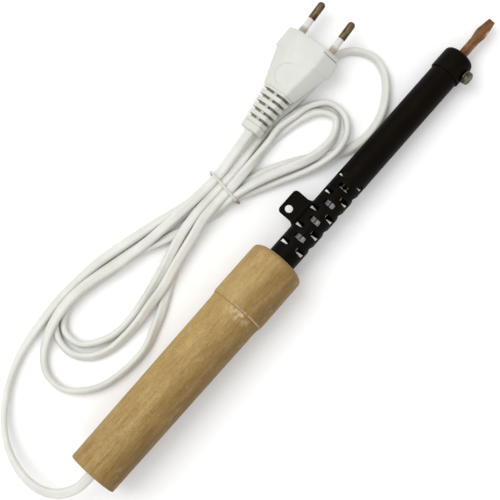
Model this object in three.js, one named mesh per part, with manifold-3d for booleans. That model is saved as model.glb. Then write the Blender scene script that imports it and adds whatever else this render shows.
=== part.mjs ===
// Mains soldering iron: a turned wooden handle, a slotted sheet-steel casing with a hanging lug,
// a heater with a sliding copper bit, and a flat twin lead that is tied in a hank and ends in a plug.
// Millimetres, +Z up, +X along the iron towards its bit. The origin is the centre of the iron's
// footprint on the bench. The iron leans down towards its bit, on the handle's collar and the end cap.

import * as THREE from 'three';
import { mergeVertices } from 'three/addons/utils/BufferGeometryUtils.js';
import Module from 'manifold-3d';

const wasm = await Module();
wasm.setup();

// ---------------------------------------------------------------- driving dimensions

const GAP = 0.3; // between pieces that touch
const ROUND = 32; // facets of a large round piece
const SMALL_ROUND = 16; // facets of a small one
const CASING_FACETS = 24; // of the slotted casing

const IRON_LENGTH = 300;
const HANDLE_LENGTH = 137;
const COLLAR_START = 104.5; // where the handle steps up to its collar
const REAR_RADIUS = 13;
const GRIP_RADIUS = 13.8;
const COLLAR_RADIUS = 14.6;
const COLLAR_CORNER = 3;
const HANDLE_SOCKET = 23; // how deep the casing sits in the handle

const CASING_RADIUS = 7.5;
const SHEET = 0.6;
const CASING_START = HANDLE_LENGTH - HANDLE_SOCKET + GAP;
const CASING_END = 272.2;
const SEAM_WIDTH = 0.4;

const SLOT_WIDTH = 2.7;
const SLOT_HALF_ANGLE = 26;
const SLOT_PITCH = 11;
const LONG_ROW = { first: 8, count: 5, angles: [45, 135, 225, 315] };
const SHORT_ROW = { first: 13.5, count: 4, angles: [90, 180, 270] };

const LUG_CENTRE = HANDLE_LENGTH + 24.5;
const LUG_WIDTH = 14.2;
const LUG_REACH = 17.8; // from the iron's axis
const LUG_CORNER = 2.2;
const LUG_HOLE_RADIUS = 1.95;
const LUG_HOLE_X = HANDLE_LENGTH + 21.7;
const LUG_HOLE_REACH = 13.8;

const CAP_RADIUS = 8.25;
const CAP_START = 262;
const CAP_END = 275;
const CAP_CORNER = 2.5;

const BIT_RADIUS = 2.25;
const BIT_INNER_END = 215;
const BIT_HOLE_RADIUS = BIT_RADIUS + 0.35;
const BLADE_START = 285; // the forged blade, from the round rod to the working edge
const BLADE_WIDEST = 292;
const BLADE_HALF_WIDTH = 3.15;
const EDGE_HALF_WIDTH = 1.8;
const EDGE_HALF_THICKNESS = 0.5;

const SCREW_X = 267.6;
const SCREW_ANGLE = 15; // above level, on the side away from the lug
const SCREW_SHANK = 1.7;
const SCREW_HEAD = 3.4;
const SCREW_HEAD_START = 9.55;
const SCREW_HEAD_END = 11.9;
const WASHER_THICKNESS = 0.7;
const WASHER_RADIUS = 3.6;

const HEATER_START = 194;
const HEATER_END = 262.4;
const WINDING_RADIUS = 4.15;
const WINDING_WIRE = 0.25;
const WINDING_PITCH = 5;

const LEAD_SPACING = 1.3; // of the heater's wires from the axis, in the casing
const SPLICE_SPACING = 2.6; // of the splices from the axis, in the handle
const WIRE_RADIUS = 0.45;
const SLEEVE_RADIUS = 1.15;
const SLEEVE_END = 184;

const CORD_WIDTH = 5;
const CORD_THICKNESS = 3.2;
const CORD_TUBE_RADIUS = 2.05; // a round tube of about the same area
const CORD_CORE_RADIUS = 0.95;

const PLUG_FRONT = [81.5, 57.45, 10.2]; // centre of the plug's front face
const PLUG_HEADING = 4.7; // degrees from +X
const PLUG_ROLL = 7.5; // the side near the iron is raised on the cord under it
const PLUG_PITCH = 3; // the pins point slightly up
const PLUG_DEPTH = 31; // from the front face to the strain relief
const PIN_SPACING = 18.6;
const PIN_LENGTH = 19.5;
const PIN_RADIUS = 2;
const PIN_SLEEVE_LENGTH = 9.2;

const TIE_X = -4; // where the hank is tied
const WAIST_START = TIE_X - 11.5;
const WAIST_END = TIE_X + 11.5;
const WAIST_SPAN = [35.6, 53.6]; // sides of the tied waist
const WAIST_RISE = [1.5, 8.6]; // lowest and highest point of the tied waist
const LOOP_BOTTOM = 0.1;
const LOOP_TOP = 5.2; // where the flat cord stands on its edge
const FLAT_LOOP_TOP = 3.4; // where it lies flat, under the plug
const TIE_WIRE = 1;

// ---------------------------------------------------------------- placing

// The iron rests on the front of its collar and the front of its cap.
const COLLAR_REST = HANDLE_LENGTH - COLLAR_CORNER;
const CAP_REST = CAP_END - CAP_CORNER;
const LEAN = Math.atan((COLLAR_RADIUS - CAP_RADIUS) / (CAP_REST - COLLAR_REST));
const AXIS_Y = (COLLAR_RADIUS - LUG_REACH) / 2;
const AXIS_Z = COLLAR_REST * Math.sin(LEAN) + COLLAR_RADIUS * Math.cos(LEAN);
const AXIS_X = -(IRON_LENGTH * Math.cos(LEAN) - REAR_RADIUS * Math.sin(LEAN)) / 2;

const model = new THREE.Group();
const iron = new THREE.Group(); // its +X runs along the iron from the centre of the handle's rear end
iron.position.set(AXIS_X, AXIS_Y, AXIS_Z);
iron.rotation.y = LEAN;
model.add(iron);

const radians = (degrees) => (degrees * Math.PI) / 180;

// ---------------------------------------------------------------- finishes

const FINISH = {
  wood: { color: 0xb8935a, roughness: 0.6, metalness: 0 },
  blackSteel: { color: 0x1a1a1a, roughness: 0.5, metalness: 0.4 },
  copper: { color: 0x8a5a34, roughness: 0.45, metalness: 0.9 },
  steel: { color: 0xa8aa9c, roughness: 0.35, metalness: 0.9 },
  mica: { color: 0xc9b98a, roughness: 0.4, metalness: 0 },
  ceramic: { color: 0xe6e0d2, roughness: 0.7, metalness: 0 },
  glassFibre: { color: 0xb9babb, roughness: 0.85, metalness: 0 },
  resistanceWire: { color: 0x7d7a75, roughness: 0.4, metalness: 0.9 },
  whitePlastic: { color: 0xe4e5e0, roughness: 0.45, metalness: 0 },
  cordPlastic: { color: 0xdfe0dd, roughness: 0.5, metalness: 0 },
  brownCore: { color: 0x7a4a2c, roughness: 0.5, metalness: 0 },
  blueCore: { color: 0x3f6fb0, roughness: 0.5, metalness: 0 },
  nickel: { color: 0x9c8f7c, roughness: 0.25, metalness: 0.95 },
};

function add(parent, name, geometry, finish) {
  const mesh = new THREE.Mesh(geometry, new THREE.MeshStandardMaterial(FINISH[finish]));
  mesh.name = name;
  parent.add(mesh);
  return mesh;
}

// ---------------------------------------------------------------- solids

// A closed geometry as a manifold solid: shared vertices merged, flat triangles left out.
function solid(geometry) {
  const bare = new THREE.BufferGeometry();
  bare.setAttribute('position', geometry.getAttribute('position'));
  if (geometry.index) bare.setIndex(geometry.index);
  const merged = mergeVertices(bare, 1e-4);
  const corners = merged.index.array;
  const kept = [];
  for (let i = 0; i < corners.length; i += 3) {
    const [a, b, c] = corners.subarray(i, i + 3);
    if (a !== b && b !== c && c !== a) kept.push(a, b, c);
  }
  return new wasm.Manifold(
    new wasm.Mesh({
      numProp: 3,
      vertProperties: merged.attributes.position.array,
      triVerts: new Uint32Array(kept),
    }),
  );
}

function geometryOf(body) {
  const mesh = body.getMesh();
  const geometry = new THREE.BufferGeometry();
  geometry.setAttribute('position', new THREE.BufferAttribute(new Float32Array(mesh.vertProperties), 3));
  geometry.setIndex(new THREE.BufferAttribute(new Uint32Array(mesh.triVerts), 1));
  return geometry;
}

// Takes the cutters out of a geometry.
function cut(geometry, cutters) {
  let body = solid(geometry);
  for (const cutter of cutters) body = body.subtract(solid(cutter));
  return geometryOf(body);
}

function join(geometries) {
  let body = solid(geometries[0]);
  for (const other of geometries.slice(1)) body = body.add(solid(other));
  return geometryOf(body);
}

// A body turned about the X axis. The profile is a list of [x, radius], with x rising outside.
function turned(profile, facets = ROUND) {
  const points = profile.map(([x, radius]) => new THREE.Vector2(radius, x));
  return new THREE.LatheGeometry(points, facets).rotateZ(-Math.PI / 2);
}

function rod(from, to, radius, facets = SMALL_ROUND) {
  return turned([[from, 0], [from, radius], [to, radius], [to, 0]], facets);
}

function tube(from, to, outer, inner, facets = ROUND) {
  return turned([[from, inner], [from, outer], [to, outer], [to, inner], [from, inner]], facets);
}

// Points of a quarter turn about [x, radius], from one angle to the other, in degrees.
function arc(x, radius, size, from, to, steps = 4) {
  const points = [];
  for (let i = 0; i <= steps; i += 1) {
    const angle = radians(from + ((to - from) * i) / steps);
    points.push([x + size * Math.cos(angle), radius + size * Math.sin(angle)]);
  }
  return points;
}

// A section swept along a curve.
function swept(shape, curve, steps) {
  return new THREE.ExtrudeGeometry(shape, { extrudePath: curve, steps, bevelEnabled: false });
}

function circle(radius, facets = 8) {
  const shape = new THREE.Shape();
  for (let i = 0; i < facets; i += 1) {
    const angle = (2 * Math.PI * i) / facets;
    const point = [radius * Math.cos(angle), radius * Math.sin(angle)];
    if (i === 0) shape.moveTo(...point);
    else shape.lineTo(...point);
  }
  shape.closePath();
  return shape;
}

function curveThrough(points) {
  return new THREE.CatmullRomCurve3(points.map((p) => new THREE.Vector3(...p)), false, 'centripetal');
}

// A rectangle with rounded corners, centred on the origin.
function roundedRectangle(width, height, corner) {
  const shape = new THREE.Shape();
  const x = width / 2;
  const y = height / 2;
  shape.moveTo(-x + corner, -y);
  shape.lineTo(x - corner, -y);
  shape.absarc(x - corner, -y + corner, corner, -Math.PI / 2, 0);
  shape.lineTo(x, y - corner);
  shape.absarc(x - corner, y - corner, corner, 0, Math.PI / 2);
  shape.lineTo(-x + corner, y);
  shape.absarc(-x + corner, y - corner, corner, Math.PI / 2, Math.PI);
  shape.lineTo(-x, -y + corner);
  shape.absarc(-x + corner, -y + corner, corner, Math.PI, 1.5 * Math.PI);
  return shape;
}

function extruded(shape, depth, curveSegments = 3) {
  return new THREE.ExtrudeGeometry(shape, { depth, curveSegments, bevelEnabled: false });
}

// Turns a body from the upward Z direction to stand out sideways at an angle about the X axis:
// 0 is towards +Y, 90 is up and 180 is towards -Y.
function standOut(geometry, angle) {
  return geometry.rotateX(radians(angle - 90));
}

// ---------------------------------------------------------------- handle

function makeHandle() {
  const bore = CASING_RADIUS + GAP;
  const socket = HANDLE_LENGTH - HANDLE_SOCKET;
  const cavity = 6.5;
  const cordHole = 3.1;
  const corner = HANDLE_LENGTH - COLLAR_CORNER;
  const profile = [
    [0, cordHole],
    [0, REAR_RADIUS - 0.8],
    [0.8, REAR_RADIUS],
    [COLLAR_START - 3.5, GRIP_RADIUS],
    [COLLAR_START - 1.2, GRIP_RADIUS + 0.25],
    [COLLAR_START, COLLAR_RADIUS],
    ...arc(corner - 1.2, COLLAR_RADIUS - COLLAR_CORNER, COLLAR_CORNER, 90, 15),
    [HANDLE_LENGTH, bore],
    [socket, bore],
    [socket, cavity],
    [60, cavity],
    [60, cordHole],
    [0, cordHole],
  ];
  return turned(profile);
}

add(iron, 'handle', makeHandle(), 'wood');

// ---------------------------------------------------------------- casing

// One ventilation slot: a round-ended cutter that passes through one wall of the casing.
function slotCutter(x, angle) {
  const length = 2 * CASING_RADIUS * Math.sin(radians(SLOT_HALF_ANGLE));
  const shape = roundedRectangle(SLOT_WIDTH, length, SLOT_WIDTH * 0.4);
  const cutter = extruded(shape, 5, 1).translate(0, 0, CASING_RADIUS - 4);
  return standOut(cutter, angle).translate(x, 0, 0);
}

function rowCutters({ first, count, angles }) {
  const cutters = [];
  for (const angle of angles) {
    for (let i = 0; i < count; i += 1) {
      cutters.push(slotCutter(HANDLE_LENGTH + first + i * SLOT_PITCH, angle));
    }
  }
  return cutters;
}

// The lug is the sheet's edge bent out at the seam, level, with flared corners at its root.
function lugPlate() {
  const root = CASING_RADIUS - 0.3;
  const half = LUG_WIDTH / 2;
  const flare = 1.3;
  const shape = new THREE.Shape();
  shape.moveTo(-half - flare, root);
  shape.lineTo(half + flare, root);
  shape.lineTo(half + 0.4, root + 0.8);
  shape.lineTo(half, root + 2);
  shape.lineTo(half, LUG_REACH - LUG_CORNER);
  shape.absarc(half - LUG_CORNER, LUG_REACH - LUG_CORNER, LUG_CORNER, 0, Math.PI / 2);
  shape.absarc(-half + LUG_CORNER, LUG_REACH - LUG_CORNER, LUG_CORNER, Math.PI / 2, Math.PI);
  shape.lineTo(-half, root + 2);
  shape.lineTo(-half - 0.4, root + 0.8);
  const hole = new THREE.Path();
  hole.absarc(LUG_HOLE_X - LUG_CENTRE, LUG_HOLE_REACH, LUG_HOLE_RADIUS, 0, 2 * Math.PI, true);
  shape.holes.push(hole);
  return extruded(shape, SHEET, 5).translate(LUG_CENTRE, 0, SEAM_WIDTH / 2);
}

function screwHoleCutter(radius) {
  const shape = circle(radius, SMALL_ROUND);
  const cutter = extruded(shape, CAP_RADIUS + 4);
  return standOut(cutter, 180 - SCREW_ANGLE).translate(SCREW_X, 0, 0);
}

function makeCasing() {
  const length = CASING_END - CASING_START;
  const seam = new THREE.BoxGeometry(length + 2, 3, SEAM_WIDTH);
  seam.translate(CASING_START + length / 2, CASING_RADIUS - 0.6, 0);
  const shell = tube(CASING_START, CASING_END, CASING_RADIUS, CASING_RADIUS - SHEET, CASING_FACETS);
  const slotted = cut(shell, [
    seam,
    ...rowCutters(LONG_ROW),
    ...rowCutters(SHORT_ROW),
    screwHoleCutter(SCREW_SHANK + GAP + 0.2),
  ]);
  return join([slotted, lugPlate()]);
}

add(iron, 'casing', makeCasing(), 'blackSteel');

// ---------------------------------------------------------------- hot end

function makeEndCap() {
  const inner = CASING_RADIUS + GAP;
  const sheet = CAP_RADIUS - inner;
  const cornerX = CAP_END - CAP_CORNER;
  const shell = turned([
    [CAP_START, inner],
    [CAP_START, CAP_RADIUS],
    ...arc(cornerX, CAP_RADIUS - CAP_CORNER, CAP_CORNER, 90, 0),
    [CAP_END, BIT_HOLE_RADIUS],
    [CAP_END - sheet, BIT_HOLE_RADIUS],
    ...arc(cornerX, CAP_RADIUS - CAP_CORNER, CAP_CORNER - sheet, 0, 90),
    [CAP_START, inner],
  ]);
  return cut(shell, [screwHoleCutter(SCREW_SHANK + GAP)]);
}

// The bush guides the bit and holds the clamp screw's thread.
function makeFrontBush() {
  const outer = CASING_RADIUS - SHEET - GAP;
  const start = HEATER_END + 1.8;
  const shell = tube(start, CASING_END - 0.7, outer, BIT_HOLE_RADIUS);
  return cut(shell, [screwHoleCutter(SCREW_SHANK + GAP)]);
}

// A round rod that is forged to a flat blade: the far stretch of the rod is widened and flattened.
function makeBit() {
  const stations = [BLADE_START, 288, 290, BLADE_WIDEST, 295, 297.5, IRON_LENGTH];
  const profile = [[BIT_INNER_END, 0], [BIT_INNER_END, BIT_RADIUS]];
  for (const x of stations) profile.push([x, BIT_RADIUS]);
  profile.push([IRON_LENGTH, 0]);
  const geometry = turned(profile, SMALL_ROUND);
  const position = geometry.getAttribute('position');
  for (let i = 0; i < position.count; i += 1) {
    const x = position.getX(i);
    if (x <= BLADE_START) continue;
    const along = (x - BLADE_START) / (IRON_LENGTH - BLADE_START);
    const rising = Math.min(1, (x - BLADE_START) / (BLADE_WIDEST - BLADE_START));
    const falling = Math.max(0, (x - BLADE_WIDEST) / (IRON_LENGTH - BLADE_WIDEST));
    const smooth = rising * rising * (3 - 2 * rising);
    const halfWidth =
      BIT_RADIUS +
      (BLADE_HALF_WIDTH - BIT_RADIUS) * smooth -
      (BLADE_HALF_WIDTH - EDGE_HALF_WIDTH) * falling;
    const halfThickness = BIT_RADIUS + (EDGE_HALF_THICKNESS - BIT_RADIUS) * along;
    position.setY(i, (position.getY(i) * halfWidth) / BIT_RADIUS);
    position.setZ(i, THREE.MathUtils.clamp(position.getZ(i), -halfThickness, halfThickness));
  }
  return geometry;
}

add(iron, 'end_cap', makeEndCap(), 'blackSteel');
add(iron, 'front_bush', makeFrontBush(), 'steel');
add(iron, 'soldering_bit', makeBit(), 'copper');

// ---------------------------------------------------------------- clamp screw

// The screw and its washer are turned about X and then stand out of the cap's side.
function sideways(geometry) {
  geometry.rotateY(-Math.PI / 2);
  return standOut(geometry, 180 - SCREW_ANGLE).translate(SCREW_X, 0, 0);
}

function makeScrew() {
  const tip = BIT_RADIUS + GAP;
  const body = turned(
    [
      [tip, 0],
      [tip, SCREW_SHANK - 0.4],
      [tip + 0.5, SCREW_SHANK],
      [SCREW_HEAD_START, SCREW_SHANK],
      [SCREW_HEAD_START, SCREW_HEAD],
      [SCREW_HEAD_START + 1.1, SCREW_HEAD],
      [SCREW_HEAD_END - 0.4, SCREW_HEAD - 0.8],
      [SCREW_HEAD_END, SCREW_HEAD - 2],
      [SCREW_HEAD_END, 0],
    ],
    SMALL_ROUND,
  );
  const slot = new THREE.BoxGeometry(2, 10, 0.9).translate(SCREW_HEAD_END, 0, 0);
  return sideways(cut(body, [slot]));
}

function makeWasher() {
  const top = SCREW_HEAD_START - GAP;
  return sideways(tube(top - WASHER_THICKNESS, top, WASHER_RADIUS, SCREW_SHANK + GAP, SMALL_ROUND));
}

add(iron, 'clamp_screw', makeScrew(), 'steel');
add(iron, 'screw_washer', makeWasher(), 'steel');

// ---------------------------------------------------------------- heater

function makeWinding() {
  const turns = Math.floor((HEATER_END - HEATER_START - 8) / WINDING_PITCH);
  const stepsPerTurn = 10;
  const start = HEATER_START + 4;
  const points = [];
  for (let i = 0; i <= turns * stepsPerTurn; i += 1) {
    const angle = (2 * Math.PI * i) / stepsPerTurn;
    const x = start + (WINDING_PITCH * i) / stepsPerTurn;
    points.push([x, WINDING_RADIUS * Math.cos(angle), WINDING_RADIUS * Math.sin(angle)]);
  }
  return swept(circle(WINDING_WIRE, 5), curveThrough(points), turns * stepsPerTurn);
}

function makeRearInsulator() {
  const disc = rod(HEATER_START - 4, HEATER_START - 2.5, CASING_RADIUS - SHEET - GAP, ROUND);
  const holes = [-1, 1].map((side) =>
    rod(HEATER_START - 5, HEATER_START - 1, WIRE_RADIUS + GAP, 8).translate(0, side * LEAD_SPACING, 0),
  );
  return cut(disc, holes);
}

function makeFrontInsulator() {
  const start = HEATER_END + GAP;
  return tube(start, start + 1.2, CASING_RADIUS - SHEET - GAP, BIT_HOLE_RADIUS);
}

add(iron, 'heater_core', tube(HEATER_START, HEATER_END, 3, BIT_HOLE_RADIUS, 24), 'steel');
add(iron, 'inner_mica', tube(HEATER_START + 1, HEATER_END - 1, 3.6, 3.3, 24), 'mica');
add(iron, 'heater_winding', makeWinding(), 'resistanceWire');
add(iron, 'outer_mica', tube(HEATER_START + 1, HEATER_END - 1, 5.1, 4.8, 24), 'mica');
add(iron, 'heater_wrap', tube(HEATER_START + 0.5, HEATER_END - 0.5, 6.1, 5.4, 24), 'glassFibre');
add(iron, 'rear_insulator', makeRearInsulator(), 'ceramic');
add(iron, 'front_insulator', makeFrontInsulator(), 'ceramic');

// ---------------------------------------------------------------- wiring inside

// The route of one heater wire: from the heater, straight through the casing, then apart to its splice.
function leadRoute(side, from, to) {
  const all = [190.8, SLEEVE_END, 165, 140, 128, 118, 110, 104, 97.5];
  const points = [];
  for (const x of all) {
    if (x > from || x < to) continue;
    const apart = THREE.MathUtils.smoothstep(138 - x, 0, 28);
    points.push([x, side * (LEAD_SPACING + (SPLICE_SPACING - LEAD_SPACING) * apart), 0]);
  }
  return curveThrough(points);
}

function makeSleeve(side) {
  const shape = circle(SLEEVE_RADIUS);
  shape.holes.push(new THREE.Path(circle(WIRE_RADIUS + GAP, 6).getPoints().reverse()));
  return swept(shape, leadRoute(side, SLEEVE_END, 109), 8);
}

function makeSplice(side) {
  return tube(94, 103, 1.4, WIRE_RADIUS + GAP, 12).translate(0, side * SPLICE_SPACING, 0);
}

function makeSpliceSleeve(side) {
  return tube(90.5, 107, 2.15, 1.75, 12).translate(0, side * SPLICE_SPACING, 0);
}

// One insulated conductor of the cord, with its bare end in the splice.
function makeCore(side) {
  const start = 1.25;
  const points = [72.3, 76, 80, 84, 88, 93].map((x) => {
    const apart = THREE.MathUtils.smoothstep(x, 74, 88);
    return [x, side * (start + (SPLICE_SPACING - start) * apart), 0];
  });
  const insulated = swept(circle(CORD_CORE_RADIUS), curveThrough(points), 8);
  const bare = rod(92, 97.2, WIRE_RADIUS, 8).translate(0, side * SPLICE_SPACING, 0);
  return join([insulated, bare]);
}

// A flat twin section that runs along X, wide in Y.
function flatTwin(width, thickness, from, to) {
  const shape = roundedRectangle(thickness, width, thickness * 0.48);
  return extruded(shape, to - from).rotateY(Math.PI / 2).translate(from, 0, 0);
}

function makeCordClamp() {
  const ring = flatTwin(10, 7.4, 61, 67);
  return cut(ring, [flatTwin(CORD_WIDTH + 2 * GAP, CORD_THICKNESS + 2 * GAP, 60, 68)]);
}

for (const [side, label] of [[1, 'left'], [-1, 'right']]) {
  const wire = swept(circle(WIRE_RADIUS, 6), leadRoute(side, 200, 97), 14);
  add(iron, `lead_wire_${label}`, wire, 'resistanceWire');
  add(iron, `lead_sleeve_${label}`, makeSleeve(side), 'glassFibre');
  add(iron, `splice_${label}`, makeSplice(side), 'nickel');
  add(iron, `splice_sleeve_${label}`, makeSpliceSleeve(side), 'cordPlastic');
  add(iron, `cord_core_${label}`, makeCore(side), side > 0 ? 'brownCore' : 'blueCore');
}
add(iron, 'cord_inner_end', flatTwin(CORD_WIDTH, CORD_THICKNESS, GAP, 72), 'cordPlastic');
add(iron, 'cord_clamp', makeCordClamp(), 'steel');

// ---------------------------------------------------------------- cord

// From the handle's rear end: out level, down to the bench in a wide turn, and back to the tie.
const HANDLE_LEAD_ROUTE = [
  [AXIS_X - 0.1, AXIS_Y, AXIS_Z],
  [-153.5, -1.7, 20.7],
  [-160.4, -0.2, 20],
  [-167.1, 4.2, 18.4],
  [-171.5, 11, 16.2],
  [-173.1, 19, 13.8],
  [-172.4, 28, 11.2],
  [-169, 37.5, 8.8],
  [-163, 46.5, 6.6],
  [-154.5, 55, 4.6],
  [-143, 61.2, 3.2],
  [-130, 65.6, 2.7],
  [-113.2, 68.2, 2.6],
  [-102.3, 68.9, 2.6],
  [-92.7, 69, 2.3],
  [-82.9, 68.2, 2.2],
  [-71.9, 66.8, 2.2],
  [-59.9, 63.9, 2.2],
  [-49.7, 61.3, 2.2],
  [-40.4, 58.6, 2.2],
  [-31, 56, 2.3],
  [-24, 53.8, 2.8],
  [WAIST_START - 3.5, 52, 3.4],
  [WAIST_START - GAP, 51.9, 3.6],
];

// From the tie to the plug's strain relief.
const PLUG_LEAD_ROUTE = [
  [WAIST_END + GAP, 51.3, 6.4],
  [11, 51.5, 6.5],
  [15, 51.8, 6.7],
  [19, 52.2, 6.9],
  [23, 52.6, 7.1],
  [26.2, 52.9, 7.3],
];

// The outlines of the tied loops as seen from above, on each side of the waist.
const LEFT_LOOPS = [
  [WAIST_START, 45.6],
  [-26, 50],
  [-34, 53],
  [-50, 56.3],
  [-67, 59.6],
  [-77.6, 62.4],
  [-84, 64.3],
  [-92, 65.3],
  [-101, 65.3],
  [-112.6, 63.6],
  [-119, 61.3],
  [-125.2, 57.9],
  [-130, 53],
  [-132.3, 48],
  [-132.9, 42.4],
  [-131.6, 36.2],
  [-128, 31],
  [-123, 26.3],
  [-116.7, 22.5],
  [-109.4, 20.4],
  [-101.3, 19.1],
  [-94.5, 18.7],
  [-88, 19.1],
  [-81.7, 20.9],
  [-70.2, 25],
  [-54.5, 32.4],
  [-38, 38.2],
  [WAIST_START, 38.6],
];

const RIGHT_LOOPS = [
  [WAIST_END, 36],
  [20, 29.5],
  [32, 22.6],
  [44, 15.8],
  [54, 9.6],
  [64, 6.4],
  [74, 6],
  [84, 9.2],
  [92, 15.4],
  [97.8, 23],
  [99.4, 31],
  [95, 35.5],
  [60, 39],
  [30, 42],
  [WAIST_END, 44],
];

const LOOPS_UNDER_PLUG = [
  [WAIST_END, 43],
  [30, 41],
  [60, 38],
  [95, 34.5],
  [99, 34],
  [97, 39.5],
  [91.5, 45],
  [84, 47.8],
  [74, 48],
  [60, 49.2],
  [46, 50.8],
  [36, 51],
  [WAIST_END, 49],
];

function loopSlab(outline, top) {
  const shape = new THREE.Shape(outline.map(([x, y]) => new THREE.Vector2(x, y)));
  return extruded(shape, top - LOOP_BOTTOM).translate(0, 0, LOOP_BOTTOM);
}

// The tied waist, where the strands lie on each other, and the loops on both sides of it.
function makeHank() {
  const [low, high] = WAIST_SPAN;
  const [bottom, top] = WAIST_RISE;
  const waist = new THREE.BoxGeometry(WAIST_END - WAIST_START, high - low, top - bottom);
  waist.translate(TIE_X, (low + high) / 2, (bottom + top) / 2);
  return join([
    waist,
    loopSlab(LEFT_LOOPS, LOOP_TOP),
    loopSlab(RIGHT_LOOPS, LOOP_TOP),
    loopSlab(LOOPS_UNDER_PLUG, FLAT_LOOP_TOP),
  ]);
}

// A twist tie: a flat loop across the waist, with a short twisted tail at its near side.
function makeTie() {
  const [low, high] = WAIST_SPAN;
  const [bottom, top] = WAIST_RISE;
  const across = high - low + 2 * GAP;
  const tall = top - bottom + 2 * GAP;
  const band = roundedRectangle(across + 2 * TIE_WIRE, tall + 2 * TIE_WIRE, 0.8);
  band.holes.push(roundedRectangle(across, tall, 0.2));
  const loop = extruded(band, TIE_WIRE).translate(0, 0, -TIE_WIRE / 2);
  loop.rotateX(Math.PI / 2).rotateZ(Math.PI / 2);
  loop.translate(TIE_X, (low + high) / 2, (bottom + top) / 2);
  const tail = rod(-TIE_WIRE / 2, 5, 0.8, 8).rotateZ(radians(-60));
  tail.translate(TIE_X, low - GAP - TIE_WIRE / 2, top - 1.5);
  return join([loop, tail]);
}

const cordSection = () => circle(CORD_TUBE_RADIUS);
add(model, 'handle_lead', swept(cordSection(), curveThrough(HANDLE_LEAD_ROUTE), 24), 'cordPlastic');
add(model, 'plug_lead', swept(cordSection(), curveThrough(PLUG_LEAD_ROUTE), 3), 'cordPlastic');
add(model, 'cord_hank', makeHank(), 'cordPlastic');
add(model, 'cord_tie', makeTie(), 'whitePlastic');

// ---------------------------------------------------------------- plug

// The plug's +X runs out of its front face, +Y to its side away from the iron, +Z up.
const plug = new THREE.Group();
plug.position.set(...PLUG_FRONT);
plug.rotation.set(radians(PLUG_ROLL * -1), radians(-PLUG_PITCH), radians(PLUG_HEADING), 'ZYX');
model.add(plug);

const PLUG_HALF_WIDTH = 16.2;
const PLUG_HALF_TOP = 8.7;
const PLUG_HALF_HEIGHT = 6.85;
const RELIEF_LENGTH = 24;

// A six-sided bar along -X, flat above and below, whose width and height follow x.
function sixSided(from, to, steps, size) {
  const shape = new THREE.Shape();
  shape.moveTo(-PLUG_HALF_HEIGHT, -PLUG_HALF_TOP);
  shape.lineTo(0, -PLUG_HALF_WIDTH);
  shape.lineTo(PLUG_HALF_HEIGHT, -PLUG_HALF_TOP);
  shape.lineTo(PLUG_HALF_HEIGHT, PLUG_HALF_TOP);
  shape.lineTo(0, PLUG_HALF_WIDTH);
  shape.lineTo(-PLUG_HALF_HEIGHT, PLUG_HALF_TOP);
  shape.closePath();
  const bar = new THREE.ExtrudeGeometry(shape, { depth: to - from, steps, bevelEnabled: false });
  bar.rotateY(Math.PI / 2).translate(from, 0, 0);
  const position = bar.getAttribute('position');
  for (let i = 0; i < position.count; i += 1) {
    const { wide, tall } = size(position.getX(i));
    position.setY(i, position.getY(i) * wide);
    position.setZ(i, position.getZ(i) * tall);
  }
  return bar;
}

// Rows of slots across the strain relief, cut from above and below, with a web between them.
function reliefSlots() {
  const cutters = [];
  for (let row = 0; row < 5; row += 1) {
    const x = -PLUG_DEPTH - 2 - row * 3.75;
    const half = 6.6 - row * 0.7;
    const core = 2.6;
    for (const side of [-1, 1]) {
      for (const face of [-1, 1]) {
        const slot = new THREE.BoxGeometry(1.3, half - 0.7, 6);
        cutters.push(slot.translate(x, (side * (half + 0.7)) / 2, face * (core + 3)));
      }
    }
  }
  return cutters;
}

function makePlugBody() {
  const flange = sixSided(-11.5, 0, 1, (x) => ({ wide: 1 + 0.03 * (-x / 11.5), tall: 1 }));
  const shell = sixSided(-PLUG_DEPTH, -11, 4, (x) => {
    const back = (-x - 11) / (PLUG_DEPTH - 11);
    return { wide: 0.97 - 0.37 * back, tall: 1 - 0.22 * back };
  });
  const relief = sixSided(-PLUG_DEPTH - RELIEF_LENGTH + 3, -PLUG_DEPTH + 0.5, 1, (x) => {
    const back = (-x - PLUG_DEPTH) / RELIEF_LENGTH;
    return { wide: 0.52 - 0.17 * back, tall: 0.7 - 0.08 * back };
  });
  const collar = sixSided(-PLUG_DEPTH - RELIEF_LENGTH, -PLUG_DEPTH - RELIEF_LENGTH + 4, 1, () => ({
    wide: 0.38,
    tall: 0.62,
  }));
  const pinHoles = [-1, 1].map((side) =>
    rod(-9, 1, PIN_RADIUS + GAP).translate(0, (side * PIN_SPACING) / 2, 0),
  );
  return cut(join([flange, shell, relief, collar]), [...reliefSlots(), ...pinHoles]);
}

function makePin() {
  const neck = PIN_SLEEVE_LENGTH + GAP;
  return turned([
    [-8, 0],
    [-8, PIN_RADIUS - 0.7],
    [neck, PIN_RADIUS - 0.7],
    [neck, PIN_RADIUS],
    [PIN_LENGTH - 1.6, PIN_RADIUS],
    [PIN_LENGTH - 0.5, PIN_RADIUS * 0.75],
    [PIN_LENGTH, 0],
  ], SMALL_ROUND);
}

function makePinSleeve() {
  return tube(-7, PIN_SLEEVE_LENGTH, PIN_RADIUS - 0.1, PIN_RADIUS - 0.7 + GAP, SMALL_ROUND);
}

add(plug, 'plug_body', makePlugBody(), 'whitePlastic');
for (const [side, label] of [[1, 'left'], [-1, 'right']]) {
  const y = (side * PIN_SPACING) / 2;
  add(plug, `plug_pin_${label}`, makePin(), 'nickel').position.y = y;
  add(plug, `pin_sleeve_${label}`, makePinSleeve(), 'whitePlastic').position.y = y;
}

export default model;
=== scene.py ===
import math

import bmesh
import bpy
from mathutils import Matrix, Vector
from mathutils.geometry import delaunay_2d_cdt


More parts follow.
